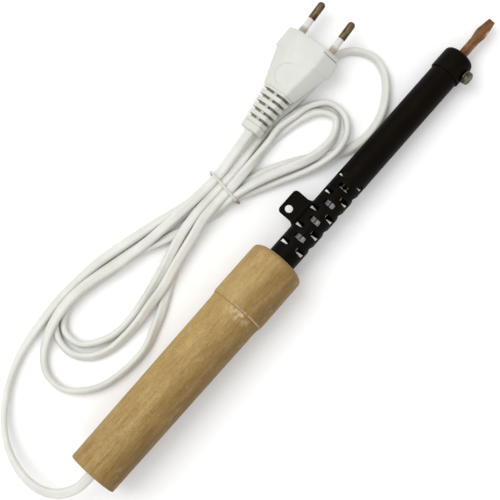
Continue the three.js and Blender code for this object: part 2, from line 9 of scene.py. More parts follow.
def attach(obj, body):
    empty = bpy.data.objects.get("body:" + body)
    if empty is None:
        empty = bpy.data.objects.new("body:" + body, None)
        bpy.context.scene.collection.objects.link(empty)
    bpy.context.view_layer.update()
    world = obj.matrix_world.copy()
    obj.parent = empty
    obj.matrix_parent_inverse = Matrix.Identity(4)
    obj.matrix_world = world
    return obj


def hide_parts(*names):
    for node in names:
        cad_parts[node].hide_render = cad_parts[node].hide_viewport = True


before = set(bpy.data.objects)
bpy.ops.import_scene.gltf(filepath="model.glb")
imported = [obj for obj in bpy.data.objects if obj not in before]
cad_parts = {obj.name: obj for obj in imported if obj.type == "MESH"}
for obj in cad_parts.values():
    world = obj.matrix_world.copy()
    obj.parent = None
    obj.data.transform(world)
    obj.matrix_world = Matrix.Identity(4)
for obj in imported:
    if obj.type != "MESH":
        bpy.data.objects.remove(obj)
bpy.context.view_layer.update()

# ---------------------------------------------------------------- sizes, in millimetres

IRON_LENGTH = 300
HANDLE_LENGTH = 137
COLLAR_START = 104.5
REAR_RADIUS = 13
GRIP_RADIUS = 13.8
COLLAR_RADIUS = 14.6
COLLAR_CORNER = 3
CORD_BORE = 3.1  # radius of the handle's hole for the cord
PASSAGE_START = 60  # the wider passage between that hole and the socket
PASSAGE_RADIUS = 6.5
CASING_RADIUS = 7.5
SHEET = 0.6
CASING_START = 114.3
CASING_END = 272.2
SEAM_WIDTH = 0.4
SLOT_WIDTH = 2.7
SLOT_HALF_ANGLE = 26
SLOT_PITCH = 11
LONG_ROW = {"first": 8, "count": 5, "angles": (45, 135, 225, 315)}
SHORT_ROW = {"first": 13.5, "count": 4, "angles": (90, 180, 270)}
LUG_CENTRE = HANDLE_LENGTH + 24.5
LUG_WIDTH = 14.2
LUG_REACH = 17.8
LUG_CORNER = 2.2
LUG_HOLE_RADIUS = 1.95
LUG_HOLE_X = HANDLE_LENGTH + 21.7
LUG_HOLE_REACH = 13.8
CAP_RADIUS = 8.25
CAP_START = 262
CAP_END = 275
CAP_CORNER = 2.5
BIT_RADIUS = 2.25
BIT_INNER_END = 215
BLADE_START = 285
BLADE_WIDEST = 292
BLADE_HALF_WIDTH = 3.15
EDGE_HALF_WIDTH = 1.8
EDGE_HALF_THICKNESS = 0.5
SCREW_X = 267.6
SCREW_ANGLE = 15
SCREW_SHANK = 1.7
SCREW_HEAD = 3.4
SCREW_HEAD_START = 9.55
SCREW_HEAD_END = 11.9
SCREW_PITCH = 0.7
SCREW_HOLE = SCREW_SHANK + 0.3
WASHER_THICKNESS = 0.7
WASHER_RADIUS = 3.6
LEAD_SPACING = 1.3
SPLICE_SPACING = 2.6
SLEEVE_RADIUS = 1.15
CORD_WIDTH = 5
CORD_THICKNESS = 3.2
TIE_X = -4
WAIST_SPAN = (35.6, 53.6)
WAIST_RISE = (1.5, 8.6)
PLUG_FRONT = (81.5, 57.45, 10.2)
PLUG_HEADING = 4.7
PLUG_ROLL = 7.5
PLUG_PITCH = 3
PLUG_DEPTH = 31
RELIEF_LENGTH = 24
RELIEF_WIDE = (0.56, 0.15)  # its start as a share of the plug, and how much less its end is
RELIEF_TALL = (0.75, 0.1)
RIB_PITCH = 3.75
RIB_ROWS = 5
PLUG_HALF_WIDTH = 16.2
PLUG_HALF_TOP = 8.7
PLUG_HALF_HEIGHT = 6.85
PIN_SPACING = 18.6
PIN_LENGTH = 19.5
PIN_RADIUS = 2
PIN_SLEEVE_LENGTH = 9.2
RING_BACK = 22.2  # centre of the half ring on the plug, behind its front
RING_SIDE = 0.6
RING_RADIUS = 6.1

COLLAR_REST = HANDLE_LENGTH - COLLAR_CORNER
CAP_REST = CAP_END - CAP_CORNER
LEAN = math.atan((COLLAR_RADIUS - CAP_RADIUS) / (CAP_REST - COLLAR_REST))
AXIS_Y = (COLLAR_RADIUS - LUG_REACH) / 2
AXIS_Z = COLLAR_REST * math.sin(LEAN) + COLLAR_RADIUS * math.cos(LEAN)
AXIS_X = -(IRON_LENGTH * math.cos(LEAN) - REAR_RADIUS * math.sin(LEAN)) / 2

# The cord's centre line from the handle to the plug, and its twist in degrees: 0 is flat, 90 on edge.
CORD_ROUTE = [
    (-149.6, -1.6, 20.7, 0), (-159.5, -0.5, 20.1, 8), (-167.6, 4.8, 18.2, 22), (-172.2, 13.2, 15.5, 36),
    (-173.1, 22.7, 12.7, 48), (-171.2, 32.1, 10.1, 62), (-167.1, 40.9, 7.7, 76), (-161.0, 48.7, 5.5, 84),
    (-153.5, 55.0, 3.9, 86), (-145.0, 60.2, 3.0, 82), (-135.8, 64.0, 2.5, 70), (-126.1, 66.5, 2.4, 54),
    (-116.2, 67.8, 2.2, 40), (-106.2, 68.6, 2.2, 36), (-96.2, 69.0, 2.3, 43), (-86.2, 68.5, 2.3, 44),
    (-76.3, 67.4, 2.1, 26), (-66.4, 65.5, 1.9, 13), (-56.7, 63.1, 1.8, 11), (-47.1, 60.5, 1.9, 18),
    (-37.4, 57.8, 2.2, 40), (-27.8, 55.0, 2.5, 64), (-18.2, 52.3, 2.8, 65), (-8.7, 49.5, 2.5, 32),
    (-1.0, 42.5, 1.7, 0), (7.5, 37.6, 1.8, 7), (16.9, 34.2, 1.7, 0), (25.7, 29.4, 1.7, 0),
    (34.1, 24.0, 1.7, 0), (41.8, 17.6, 1.7, 0), (50.0, 12.0, 1.8, 7), (59.3, 8.4, 2.1, 18),
    (69.3, 7.8, 2.2, 36), (78.9, 10.0, 2.3, 46), (87.6, 15.0, 2.4, 54), (94.6, 22.1, 2.5, 62),
    (97.5, 31.3, 2.5, 70), (93.9, 40.6, 2.5, 74), (86.1, 46.4, 2.4, 60), (76.1, 46.0, 2.2, 40),
    (66.1, 45.8, 2.0, 20), (56.1, 46.5, 1.7, 0), (46.2, 47.5, 1.7, 0), (36.2, 48.2, 1.7, -1),
    (26.3, 48.0, 2.3, -14), (16.5, 46.8, 4.2, -29), (6.6, 46.0, 5.5, -42), (-3.4, 45.9, 6.4, -41),
    (-13.3, 46.2, 6.1, -34), (-23.4, 45.9, 5.9, -15), (-33.3, 44.9, 5.4, 1), (-43.0, 42.8, 4.7, 17),
    (-52.7, 40.3, 4.5, 33), (-62.5, 38.3, 4.5, 49), (-72.4, 36.8, 3.9, 62), (-82.3, 35.8, 3.4, 69),
    (-92.3, 36.3, 3.2, 75), (-101.6, 40.0, 3.0, 80), (-108.7, 46.7, 2.6, 85), (-108.8, 56.4, 2.6, 85),
    (-101.3, 62.2, 2.6, 83), (-91.3, 62.5, 2.5, 74), (-81.4, 60.9, 2.5, 62), (-71.8, 58.5, 2.5, 63),
    (-62.0, 56.6, 2.5, 71), (-52.5, 53.4, 2.5, 73), (-43.2, 49.8, 2.2, 40), (-33.8, 46.1, 1.8, 9),
    (-24.4, 42.8, 1.7, -1), (-15.0, 39.2, 1.8, 8), (-5.6, 37.9, 2.1, 29), (4.0, 33.4, 2.2, 34),
    (12.9, 28.8, 2.2, 34), (21.7, 24.1, 2.3, 44), (30.5, 19.4, 3.1, 57), (39.5, 15.5, 4.9, 72),
    (49.2, 13.7, 6.0, 85), (58.7, 16.3, 4.4, 85), (64.9, 23.3, 2.6, 83), (64.8, 33.1, 2.6, 97),
    (57.5, 39.6, 2.6, 115), (47.9, 42.3, 3.9, 134), (38.1, 44.1, 4.8, 116), (28.2, 42.7, 5.3, 85),
    (18.3, 42.1, 5.3, 52), (8.3, 41.7, 6.0, 23), (-1.7, 41.4, 6.9, 1), (-11.7, 41.6, 7.2, -15),
    (-21.7, 41.3, 7.6, 8), (-31.6, 39.6, 5.9, 21), (-41.4, 37.9, 5.2, 15), (-51.2, 36.0, 4.9, 10),
    (-61.0, 33.9, 4.8, 11), (-71.0, 33.1, 4.2, 27), (-80.9, 32.0, 3.6, 38), (-90.9, 32.1, 2.9, 48),
    (-100.7, 33.5, 2.4, 55), (-109.5, 38.1, 2.4, 59), (-114.8, 46.4, 2.5, 66), (-113.8, 56.2, 2.5, 72),
    (-107.2, 63.4, 2.5, 79), (-97.5, 65.6, 2.6, 83), (-87.7, 65.3, 2.6, 82), (-77.8, 63.5, 2.5, 75),
    (-68.0, 60.9, 2.5, 72), (-58.3, 58.4, 2.5, 71), (-48.8, 55.8, 2.3, 50), (-39.0, 53.7, 2.0, 20),
    (-29.2, 51.6, 2.2, 35), (-19.5, 49.2, 2.3, 49), (-10.3, 45.3, 2.6, 24), (-0.3, 42.9, 4.3, -1),
    (9.4, 42.0, 2.2, 10), (19.4, 42.0, 1.7, 3), (29.4, 42.5, 1.7, 0), (39.3, 41.5, 1.8, 8),
    (49.0, 39.0, 2.1, 30), (57.8, 34.3, 2.4, 54), (61.2, 25.8, 2.5, 71), (53.3, 20.3, 2.7, 62),
    (43.6, 19.9, 5.0, 42), (34.1, 22.4, 5.5, 23), (25.1, 26.9, 5.1, 3), (16.1, 31.2, 5.2, -18),
    (6.8, 34.8, 5.9, -40), (-2.9, 37.6, 6.2, -63), (-12.4, 39.8, 4.7, -22), (-21.9, 41.4, 4.5, 7),
    (-31.9, 40.8, 2.3, 28), (-41.7, 38.9, 1.7, 4), (-51.1, 35.6, 1.7, 0), (-60.3, 31.6, 1.7, 0),
    (-69.3, 27.2, 2.0, 18), (-78.6, 23.7, 2.2, 40), (-88.2, 20.7, 2.4, 60), (-98.2, 20.4, 2.5, 70),
    (-108.1, 21.8, 2.5, 76), (-117.6, 24.8, 2.5, 80), (-125.6, 30.7, 2.6, 84), (-130.9, 39.0, 2.6, 84),
    (-130.4, 48.9, 2.5, 78), (-124.3, 56.6, 2.5, 64), (-115.7, 61.0, 4.9, 42), (-106.2, 63.4, 7.0, 18),
    (-96.3, 64.4, 6.4, 7), (-86.4, 63.5, 6.3, -3), (-76.7, 61.1, 6.2, -2), (-67.1, 58.2, 6.2, 10),
    (-57.3, 56.2, 6.2, 4), (-47.4, 54.6, 5.6, -2), (-37.5, 53.5, 5.2, 3), (-27.6, 52.4, 5.8, -9),
    (-17.6, 51.3, 6.5, -6), (-7.7, 50.4, 6.4, 22), (2.3, 50.4, 6.3, 22), (12.3, 51.5, 6.7, 11),
    (20.2, 52.3, 7.1, 8), (26.7, 52.9, 7.4, 7.5),
]

MM = Matrix.Scale(0.001, 4)
IRON = MM @ Matrix.Translation((AXIS_X, AXIS_Y, AXIS_Z)) @ Matrix.Rotation(LEAN, 4, "Y")
PLUG = (
    MM
    @ Matrix.Translation(PLUG_FRONT)
    @ Matrix.Rotation(math.radians(PLUG_HEADING), 4, "Z")
    @ Matrix.Rotation(math.radians(-PLUG_PITCH), 4, "Y")
    @ Matrix.Rotation(math.radians(-PLUG_ROLL), 4, "X")
)


def stand_out(angle, x):
    """The iron's frame at x, turned so that +Z stands out sideways. Angle 0 is +Y and 90 is up."""
    return IRON @ Matrix.Translation((x, 0, 0)) @ Matrix.Rotation(math.radians(angle - 90), 4, "X")


SCREW = stand_out(180 - SCREW_ANGLE, SCREW_X)

# ---------------------------------------------------------------- camera

CAMERA_PLACE = (-0.0709, -0.0324, 0.6276)
CAMERA_RIGHT = Vector((0.65901, -0.75214, 0))
CAMERA_DROP = math.radians(83.57)  # below level
PHOTO_HALF = 250  # half the photo's width and its focal length, in pixels
PHOTO_FOCAL = 1260
CAMERA_HALF_VIEW = math.atan(PHOTO_HALF / PHOTO_FOCAL)


def make_camera():
    level = Vector((-CAMERA_RIGHT.y, CAMERA_RIGHT.x, 0))
    up = Vector((0, 0, math.cos(CAMERA_DROP))) + level * math.sin(CAMERA_DROP)
    back = CAMERA_RIGHT.cross(up)
    turn = Matrix((CAMERA_RIGHT, up, back)).transposed().to_4x4()
    data = bpy.data.cameras.new("camera")
    data.sensor_width = 36
    data.lens = data.sensor_width / 2 / math.tan(CAMERA_HALF_VIEW)
    camera = bpy.data.objects.new("camera", data)
    bpy.context.scene.collection.objects.link(camera)
    camera.matrix_world = Matrix.Translation(CAMERA_PLACE) @ turn
    bpy.context.scene.camera = camera


make_camera()

# ---------------------------------------------------------------- making pieces


def make_object(name, part, place, sharp):
    """A mesh object from a part, which is its points in the frame of place and its faces."""
    vertices, faces = part
    mesh = bpy.data.meshes.new(name)
    mesh.from_pydata([place @ Vector(v) for v in vertices], [], faces)
    obj = bpy.data.objects.new(name, mesh)
    bpy.context.scene.collection.objects.link(obj)
    settle(obj, sharp)
    return obj


def make_piece(name, part, place, material, replaces=(), sharp=35, body="iron_body"):
    """A visible piece in a material, which rides on a CAD body and may stand for CAD nodes."""
    obj = make_object(name, part, place, sharp)
    obj.data.materials.append(material)
    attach(obj, body)
    if replaces:
        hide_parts(*replaces)
    return obj


SAME_POINT = 2e-6  # metres between points that count as one


def settle(obj, sharp):
    """Merges doubled points, turns the faces outward and smooths all but the sharp edges."""
    form = bmesh.new()
    form.from_mesh(obj.data)
    bmesh.ops.remove_doubles(form, verts=form.verts, dist=SAME_POINT)
    bmesh.ops.recalc_face_normals(form, faces=form.faces)
    for face in form.faces:
        face.smooth = True
    form.to_mesh(obj.data)
    form.free()
    obj.data.set_sharp_from_angle(angle=math.radians(sharp))


NO_RADIUS = 1e-6


def circle(radius, sides):
    turns = [2 * math.pi * k / sides for k in range(sides)]
    return [(radius * math.cos(t), radius * math.sin(t)) for t in turns]


def turned(profile, sides=96):
    """A closed body turned about X from [x, radius] points. A radius of 0 makes a pole."""
    vertices, faces, rings = [], [], []
    for x, radius in profile:
        start = len(vertices)
        if radius < NO_RADIUS:
            rings.append([start] * sides)
            vertices.append((x, 0, 0))
        else:
            rings.append(list(range(start, start + sides)))
            vertices += [(x, y, z) for y, z in circle(radius, sides)]
    for first, second in zip(rings, rings[1:]):
        for k in range(sides):
            m = (k + 1) % sides
            corners = [first[k], first[m], second[m], second[k]]
            corners = [c for i, c in enumerate(corners) if c not in corners[:i]]
            if len(corners) > 2:
                faces.append(corners)
    return vertices, faces


def arc(x, radius, size, start, end, steps=8):
    """[x, radius] points of a turn about a centre point, from one angle to another in degrees."""
    turns = [math.radians(start + (end - start) * i / steps) for i in range(steps + 1)]
    return [(x + size * math.cos(t), radius + size * math.sin(t)) for t in turns]


def spaced(start, end, step):
    """[x, radius] points between two others, evenly spaced, without the first."""
    count = max(1, round(math.dist(start, end) / step))
    shares = [i / count for i in range(1, count + 1)]
    return [tuple(a + (b - a) * share for a, b in zip(start, end)) for share in shares]


def lofted(rings, closed_ends=True):
    """Faces between rings of points that all have the same count."""
    size = len(rings[0])
    vertices = [point for ring in rings for point in ring]
    faces = []
    for r in range(len(rings) - 1):
        for k in range(size):
            m = (k + 1) % size
            faces.append((r * size + k, r * size + m, (r + 1) * size + m, (r + 1) * size + k))
    if closed_ends:
        faces.append(tuple(range(size))[::-1])
        faces.append(tuple(range((len(rings) - 1) * size, len(rings) * size)))
    return vertices, faces


def joined(*parts):
    vertices, faces = [], []
    for more_vertices, more_faces in parts:
        base = len(vertices)
        vertices += more_vertices
        faces += [tuple(base + i for i in face) for face in more_faces]
    return vertices, faces


def moved(part, matrix):
    vertices, faces = part
    return [tuple(matrix @ Vector(v)) for v in vertices], faces


def cut_by(obj, cutters, place, sharp=35):
    """Takes cutter solids, given in the frame of place, out of a piece."""
    cutter = make_object("cutter", joined(*cutters), place, sharp)
    step = obj.modifiers.new("cut", "BOOLEAN")
    step.operation = "DIFFERENCE"
    step.solver = "EXACT"
    step.object = cutter
    bpy.context.view_layer.update()
    shown = obj.evaluated_get(bpy.context.evaluated_depsgraph_get())
    result = bpy.data.meshes.new_from_object(shown)
    result.name = obj.data.name
    obj.modifiers.clear()
    obj.data = result
    bpy.data.objects.remove(cutter)
    settle(obj, sharp)


def rounded_box(size, centre, corner, steps=3):
    """A box along X whose section in Y and Z has round corners."""
    length, width, height = size
    outline = rounded_outline(width, height, corner, steps)
    cx, cy, cz = centre
    rings = [[(cx + x, cy + y, cz + z) for y, z in outline] for x in (-length / 2, length / 2)]
    return lofted(rings)


def rounded_outline(width, height, corner, steps=4):
    points = []
    for sx, sy, start in ((1, 1, 0), (-1, 1, 90), (-1, -1, 180), (1, -1, 270)):
        centre_x = sx * (width / 2 - corner)
        centre_y = sy * (height / 2 - corner)
        points += arc(centre_x, centre_y, corner, start, start + 90, steps)
    return points


CURVE_STEPS = 12  # between two given points of a spline


def spline(points, step):
    """Points at even steps along a smooth curve through the given ones. Any further numbers follow."""
    ends = [[2 * a - b for a, b in zip(points[0], points[1])]]
    tail = [[2 * a - b for a, b in zip(points[-1], points[-2])]]
    path = ends + [list(p) for p in points] + tail
    dense = []
    for p0, p1, p2, p3 in zip(path, path[1:], path[2:], path[3:]):
        t1 = math.dist(p0[:3], p1[:3]) ** 0.5
        t2 = t1 + math.dist(p1[:3], p2[:3]) ** 0.5
        t3 = t2 + math.dist(p2[:3], p3[:3]) ** 0.5
        for i in range(CURVE_STEPS):
            t = t1 + (t2 - t1) * i / CURVE_STEPS
            dense.append([centripetal(t, t1, t2, t3, *values) for values in zip(p0, p1, p2, p3)])
    dense.append(list(points[-1]))
    lengths = [0]
    for a, b in zip(dense, dense[1:]):
        lengths.append(lengths[-1] + math.dist(a[:3], b[:3]))
    count = round(lengths[-1] / step)
    even, k = [], 0
    for i in range(count + 1):
        want = lengths[-1] * i / count
        while k < len(lengths) - 2 and lengths[k + 1] < want:
            k += 1
        share = (want - lengths[k]) / (lengths[k + 1] - lengths[k])
        even.append([a + (b - a) * share for a, b in zip(dense[k], dense[k + 1])])
    return even


def centripetal(t, t1, t2, t3, a, b, c, d):
    """One number of a Catmull-Rom curve with knots 0, t1, t2 and t3, at t between t1 and t2."""
    ab = a + (b - a) * t / t1
    bc = b + (c - b) * (t - t1) / (t2 - t1)
    cd = c + (d - c) * (t - t2) / (t3 - t2)
    abc = ab + (bc - ab) * t / t2
    bcd = bc + (cd - bc) * (t - t1) / (t3 - t1)
    return abc + (bcd - abc) * (t - t1) / (t2 - t1)


def swept(section, path, twists=None, closed=False):
    """A section of [side, up] points swept along a path. Side is level, on the path's right."""
    rings = []
    count = len(path)
    for i, point in enumerate(path):
        before = path[(i - 1) % count] if closed else path[max(i - 1, 0)]
        after = path[(i + 1) % count] if closed else path[min(i + 1, count - 1)]
        along = (Vector(after[:3]) - Vector(before[:3])).normalized()
        side = along.cross(Vector((0, 0, 1)))
        if side.length < 1e-4:
            side = along.cross(Vector((1, 0, 0)))
        side.normalize()
        up = side.cross(along)
        twist = math.radians(twists[i]) if twists else 0
        turned_side = side * math.cos(twist) + up * math.sin(twist)
        turned_up = up * math.cos(twist) - side * math.sin(twist)
        centre = Vector(point[:3])
        rings.append([tuple(centre + turned_side * a + turned_up * b) for a, b in section])
    if closed:
        rings.append(rings[0])
    return lofted(rings, not closed)


# ---------------------------------------------------------------- sheet metal


def outward(loop, i):
    """The direction away from the material at one point of a boundary, in the flat sheet."""
    x0, y0 = loop[i - 1]
    x1, y1 = loop[(i + 1) % len(loop)]
    length = math.hypot(x1 - x0, y1 - y0) or 1
    return (y1 - y0) / length, -(x1 - x0) / length


def inside(point, loop):
    x, y = point
    hit = False
    for (x0, y0), (x1, y1) in zip(loop, loop[1:] + loop[:1]):
        if (y0 > y) != (y1 > y) and x < x0 + (x1 - x0) * (y - y0) / (y1 - y0):
            hit = not hit
    return hit


def sheet(outline, holes, grid, shape, thickness, edge=0.12):
    """A flat sheet with holes, bent by shape(u, v, offset from its middle), with rounded edges.
    The outline runs anticlockwise and the holes clockwise."""
    loops = [outline, *holes]
    drawn = []
    for loop in loops:
        steps = [outward(loop, i) for i in range(len(loop))]
        drawn.append([(u - a * edge, v - b * edge) for (u, v), (a, b) in zip(loop, steps)])
    flat, edges = [], []
    for loop in drawn:
        base = len(flat)
        flat += loop
        edges += [(base + i, base + (i + 1) % len(loop)) for i in range(len(loop))]
    keep_off = edge * 1.5
    for point in grid:
        if inside(point, drawn[0]) and not any(near_loop(point, loop, keep_off) for loop in drawn):
            flat.append(point)
    spots, _, cells, origins, _, _ = delaunay_2d_cdt([Vector(p) for p in flat], edges, [], 0, 1e-5)
    index = {}
    for now, sources in enumerate(origins):
        for source in sources:
            index[source] = now
    kept = []
    for cell in cells:
        middle = tuple(sum(spots[i][k] for i in cell) / len(cell) for k in (0, 1))
        if inside(middle, drawn[0]) and not any(inside(middle, hole) for hole in drawn[1:]):
            kept.append(tuple(cell))
    half = thickness / 2
    count = len(spots)
    vertices = [shape(p[0], p[1], half) for p in spots] + [shape(p[0], p[1], -half) for p in spots]
    faces = kept + [tuple(i + count for i in cell[::-1]) for cell in kept]
    soft = 0.3 * edge
    rim = ((0.7, half - soft), (1, half - edge), (1, edge - half), (0.7, soft - half))
    start = 0
    for loop in loops:
        size = len(loop)
        top = [index[start + i] for i in range(size)]
        rings = [top]
        for share, depth in rim:
            ring = []
            for i, (u, v) in enumerate(loop):
                a, b = outward(loop, i)
                out = edge * (share - 1)
                ring.append(len(vertices))
                vertices.append(shape(u + a * out, v + b * out, depth))
            rings.append(ring)
        rings.append([i + count for i in top])
        for upper, lower in zip(rings, rings[1:]):
            for i in range(size):
                m = (i + 1) % size
                faces.append((upper[i], upper[m], lower[m], lower[i]))
        start += size
    return vertices, faces


def near_loop(point, loop, distance):
    x, y = point
    for (x0, y0), (x1, y1) in zip(loop, loop[1:] + loop[:1]):
        if min(x0, x1) - distance > x or max(x0, x1) + distance < x:
            continue
        if min(y0, y1) - distance > y or max(y0, y1) + distance < y:
            continue
        dx, dy = x1 - x0, y1 - y0
        along = max(0, min(1, ((x - x0) * dx + (y - y0) * dy) / (dx * dx + dy * dy or 1)))
        if math.hypot(x0 + dx * along - x, y0 + dy * along - y) < distance:
            return True
    return False


# ---------------------------------------------------------------- finishes


def tint(red, green, blue):
    """A colour from 0 to 255 as the linear values that nodes use, by the sRGB curve."""

    def linear(value):
        share = value / 255
        return share / 12.92 if share <= 0.04045 else ((share + 0.055) / 1.055) ** 2.4

    return (linear(red), linear(green), linear(blue), 1)


class Finish:
    """A material made of nodes, which see millimetres in the frame of place."""

    def __init__(self, name, place):
        self.material = bpy.data.materials.new(name)
        self.material.use_nodes = True
        self.tree = self.material.node_tree
        self.tree.nodes.clear()
        self.colour = None
        where, turn, size = place.inverted().decompose()
        source = self.node("ShaderNodeTexCoord").outputs["Object"]
        mapping = self.node("ShaderNodeMapping", {"Vector": source})
        mapping.inputs["Location"].default_value = where
        mapping.inputs["Rotation"].default_value = turn.to_euler()
        mapping.inputs["Scale"].default_value = size
        self.local = mapping.outputs["Vector"]
        split = self.node("ShaderNodeSeparateXYZ", {"Vector": self.local})
        self.x, self.y, self.z = (split.outputs[k] for k in "XYZ")

    def node(self, kind, inputs=None, **settings):
        made = self.tree.nodes.new(kind)
        for key, value in settings.items():
            setattr(made, key, value)
        for key, value in (inputs or {}).items():
            if isinstance(value, bpy.types.NodeSocket):
                self.tree.links.new(value, made.inputs[key])
            else:
                made.inputs[key].default_value = value
        return made

    def drawn_out(self, along):
        """The place, with less change along X the smaller the number is."""
        if along == 1:
            return self.local
        values = {0: self.local, 1: (along, 1, 1)}
        return self.node("ShaderNodeVectorMath", values, operation="MULTIPLY").outputs["Vector"]

    def noise(self, scale, detail=4, roughness=0.55, distortion=0, along=1):
        values = {"Vector": self.drawn_out(along), "Scale": scale, "Detail": detail}
        values |= {"Roughness": roughness, "Distortion": distortion}
        return self.node("ShaderNodeTexNoise", values).outputs["Fac"]

    def cells(self, scale, along):
        values = {"Vector": self.drawn_out(along), "Scale": scale}
        return self.node("ShaderNodeTexVoronoi", values).outputs["Distance"]

    def ramp(self, value, *stops):
        made = self.node("ShaderNodeValToRGB", {"Fac": value})
        band = made.color_ramp
        while len(band.elements) < len(stops):
            band.elements.new(0.5)
        for element, (place, colour) in zip(band.elements, stops):
            element.position = place
            element.color = colour
        return made.outputs["Color"]

    def mix(self, share, first, second, blend="MIX"):
        """Mixes two colours, which are sockets 6 and 7 of a Mix node, with the result in 2."""
        values = {0: share, 6: first, 7: second}
        return self.node("ShaderNodeMix", values, data_type="RGBA", blend_type=blend).outputs[2]

    def paint(self, share, tone, blend="MIX"):
        """Lays a tone over the colour so far."""
        self.colour = self.mix(share, self.colour, tone, blend)

    def calc(self, operation, first, second=0.0, third=0.0):
        made = self.node("ShaderNodeMath", {0: first, 1: second, 2: third}, operation=operation)
        return made.outputs[0]

    def plus(self, first, second):
        return self.calc("ADD", first, second)

    def times(self, first, second):
        return self.calc("MULTIPLY", first, second)

    def spread(self, value, low, high, out_low=0.0, out_high=1.0):
        """Moves a value from one range to another, and stops it at the ends."""
        values = {0: value, 1: low, 2: high, 3: out_low, 4: out_high}
        return self.node("ShaderNodeMapRange", values, clamp=True).outputs[0]

    def near(self, value, middle, reach):
        """1 where the value is at the middle, down to 0 at the reach on both sides."""
        away = self.calc("ABSOLUTE", self.calc("SUBTRACT", value, middle))
        return self.spread(away, 0, reach, 1, 0)

    def bump(self, height, strength, distance):
        values = {"Height": height, "Strength": strength, "Distance": distance / 1000}
        return self.node("ShaderNodeBump", values).outputs["Normal"]

    def surface(self, roughness, normal, metallic=0.0, **more):
        values = {"Base Color": self.colour, "Roughness": roughness, "Normal": normal, "Metallic": metallic}
        values.update({key.replace("_", " "): value for key, value in more.items()})
        shader = self.node("ShaderNodeBsdfPrincipled", values)
        self.node("ShaderNodeOutputMaterial", {"Surface": shader.outputs["BSDF"]})
        return self.material


def wood():
    f = Finish("turned_wood", IRON)
    wander = f.noise(0.1, 2, along=0.2)
    streaks = f.noise(0.4, 5, 0.6, 0.8, along=0.14)
    fine = f.noise(3.2, 6, 0.7, along=0.1)
    flecks = f.noise(2.2, 3, 0.6, along=0.35)
    patches = f.noise(0.11, 3, 0.55, along=0.5)
    pores = f.noise(5.5, 2, 0.4, along=0.16)
    f.colour = f.ramp(
        f.plus(f.times(streaks, 0.7), f.times(wander, 0.3)),
        (0.28, tint(145, 117, 62)),
        (0.5, tint(170, 143, 86)),
        (0.7, tint(191, 168, 113)),
    )
    f.paint(f.spread(patches, 0.46, 0.72, 0, 0.5), tint(130, 94, 48))
    # Painted light: the grip's side towards the key light is paler and yellower.
    lit_side_painted_light = f.times(f.near(f.x, 80, 62), f.spread(f.y, -1.5, 4, 0, 0.42))
    f.paint(lit_side_painted_light, tint(208, 183, 116))
    f.paint(f.spread(flecks, 0.54, 0.7, 0, 0.55), tint(140, 100, 50))
    f.paint(f.spread(fine, 0.35, 0.7, 0.45, 0), tint(150, 116, 70), "MULTIPLY")
    f.paint(f.spread(pores, 0.6, 0.68, 0, 0.6), tint(108, 76, 34))
    # Painted shade: the other side, away from the key light, is darker, most of all near the lead.
    shaded_side_painted_shade = f.spread(f.calc("MULTIPLY_ADD", f.y, -0.95, f.times(f.z, -0.25)), -4.5, 9, 0, 0.66)
    rear = f.spread(f.x, 15, 110, 1, 0.8)
    f.paint(f.times(shaded_side_painted_shade, rear), tint(84, 58, 6))
    # Pale rubbed line at the step, and smudges behind it.
    rubbed = f.times(f.near(f.x, COLLAR_START, 0.6), f.spread(f.noise(0.35), 0.3, 0.55))
    rubbed = f.times(rubbed, f.spread(f.y, 10, -4, 0.15, 0.8))
    smudge_noise = f.noise(0.5, 4, 0.6, along=0.5)
    behind = f.times(f.near(f.x, COLLAR_START - 2.9, 4.2), f.near(f.y, -2.5, 9))
    smudge = f.times(f.spread(behind, 0.1, 0.6), f.spread(smudge_noise, 0.4, 0.62))
    faint = f.spread(f.noise(0.22, 4, 0.65, along=0.7), 0.56, 0.8, 0, 0.35)
    pale = f.calc("MAXIMUM", f.calc("MAXIMUM", rubbed, smudge), faint)
    f.paint(f.times(pale, 0.62), tint(214, 198, 162))
    # Painted light: the collar is paler on its side towards the key light.
    collar_painted_light = f.times(f.spread(f.x, COLLAR_START, COLLAR_START + 2, 0, 0.12), f.spread(f.y, -8, 2))
    f.paint(collar_painted_light, tint(206, 178, 124))
    grime = f.times(f.near(f.x, COLLAR_START - 0.7, 0.6), 0.5)
    f.paint(grime, tint(106, 78, 44))
    height = f.plus(f.times(fine, 0.7), f.times(pores, -0.6))
    lathe_marks = f.calc("SINE", f.times(f.x, 5.2))
    height = f.plus(height, f.times(lathe_marks, 0.05))
    rough = f.spread(streaks, 0.3, 0.7, 0.66, 0.54)
    return f.surface(rough, f.bump(height, 0.3, 0.1), Specular_IOR_Level=0.3)


def black_steel():
    f = Finish("black_steel", IRON)
    cloud = f.noise(0.14, 4, 0.55, along=0.5)
    grain = f.noise(5, 3, 0.6)
    scratch = f.noise(4.5, 3, 0.7, along=0.12)
    f.colour = f.ramp(cloud, (0.3, tint(6, 3, 1)), (0.55, tint(11, 7, 2)), (0.75, tint(18, 11, 4)))
    f.paint(f.spread(grain, 0.55, 0.8, 0, 0.3), tint(34, 29, 22))
    worn = f.spread(scratch, 0.7, 0.78, 0, 0.4)
    f.paint(worn, tint(62, 56, 46))
    rough = f.plus(f.spread(cloud, 0.3, 0.7, 0.36, 0.5), f.spread(grain, 0.4, 0.7, 0, 0.1))
    height = f.plus(grain, f.times(scratch, 0.3))
    return f.surface(rough, f.bump(height, 0.3, 0.05), Specular_IOR_Level=0.045)


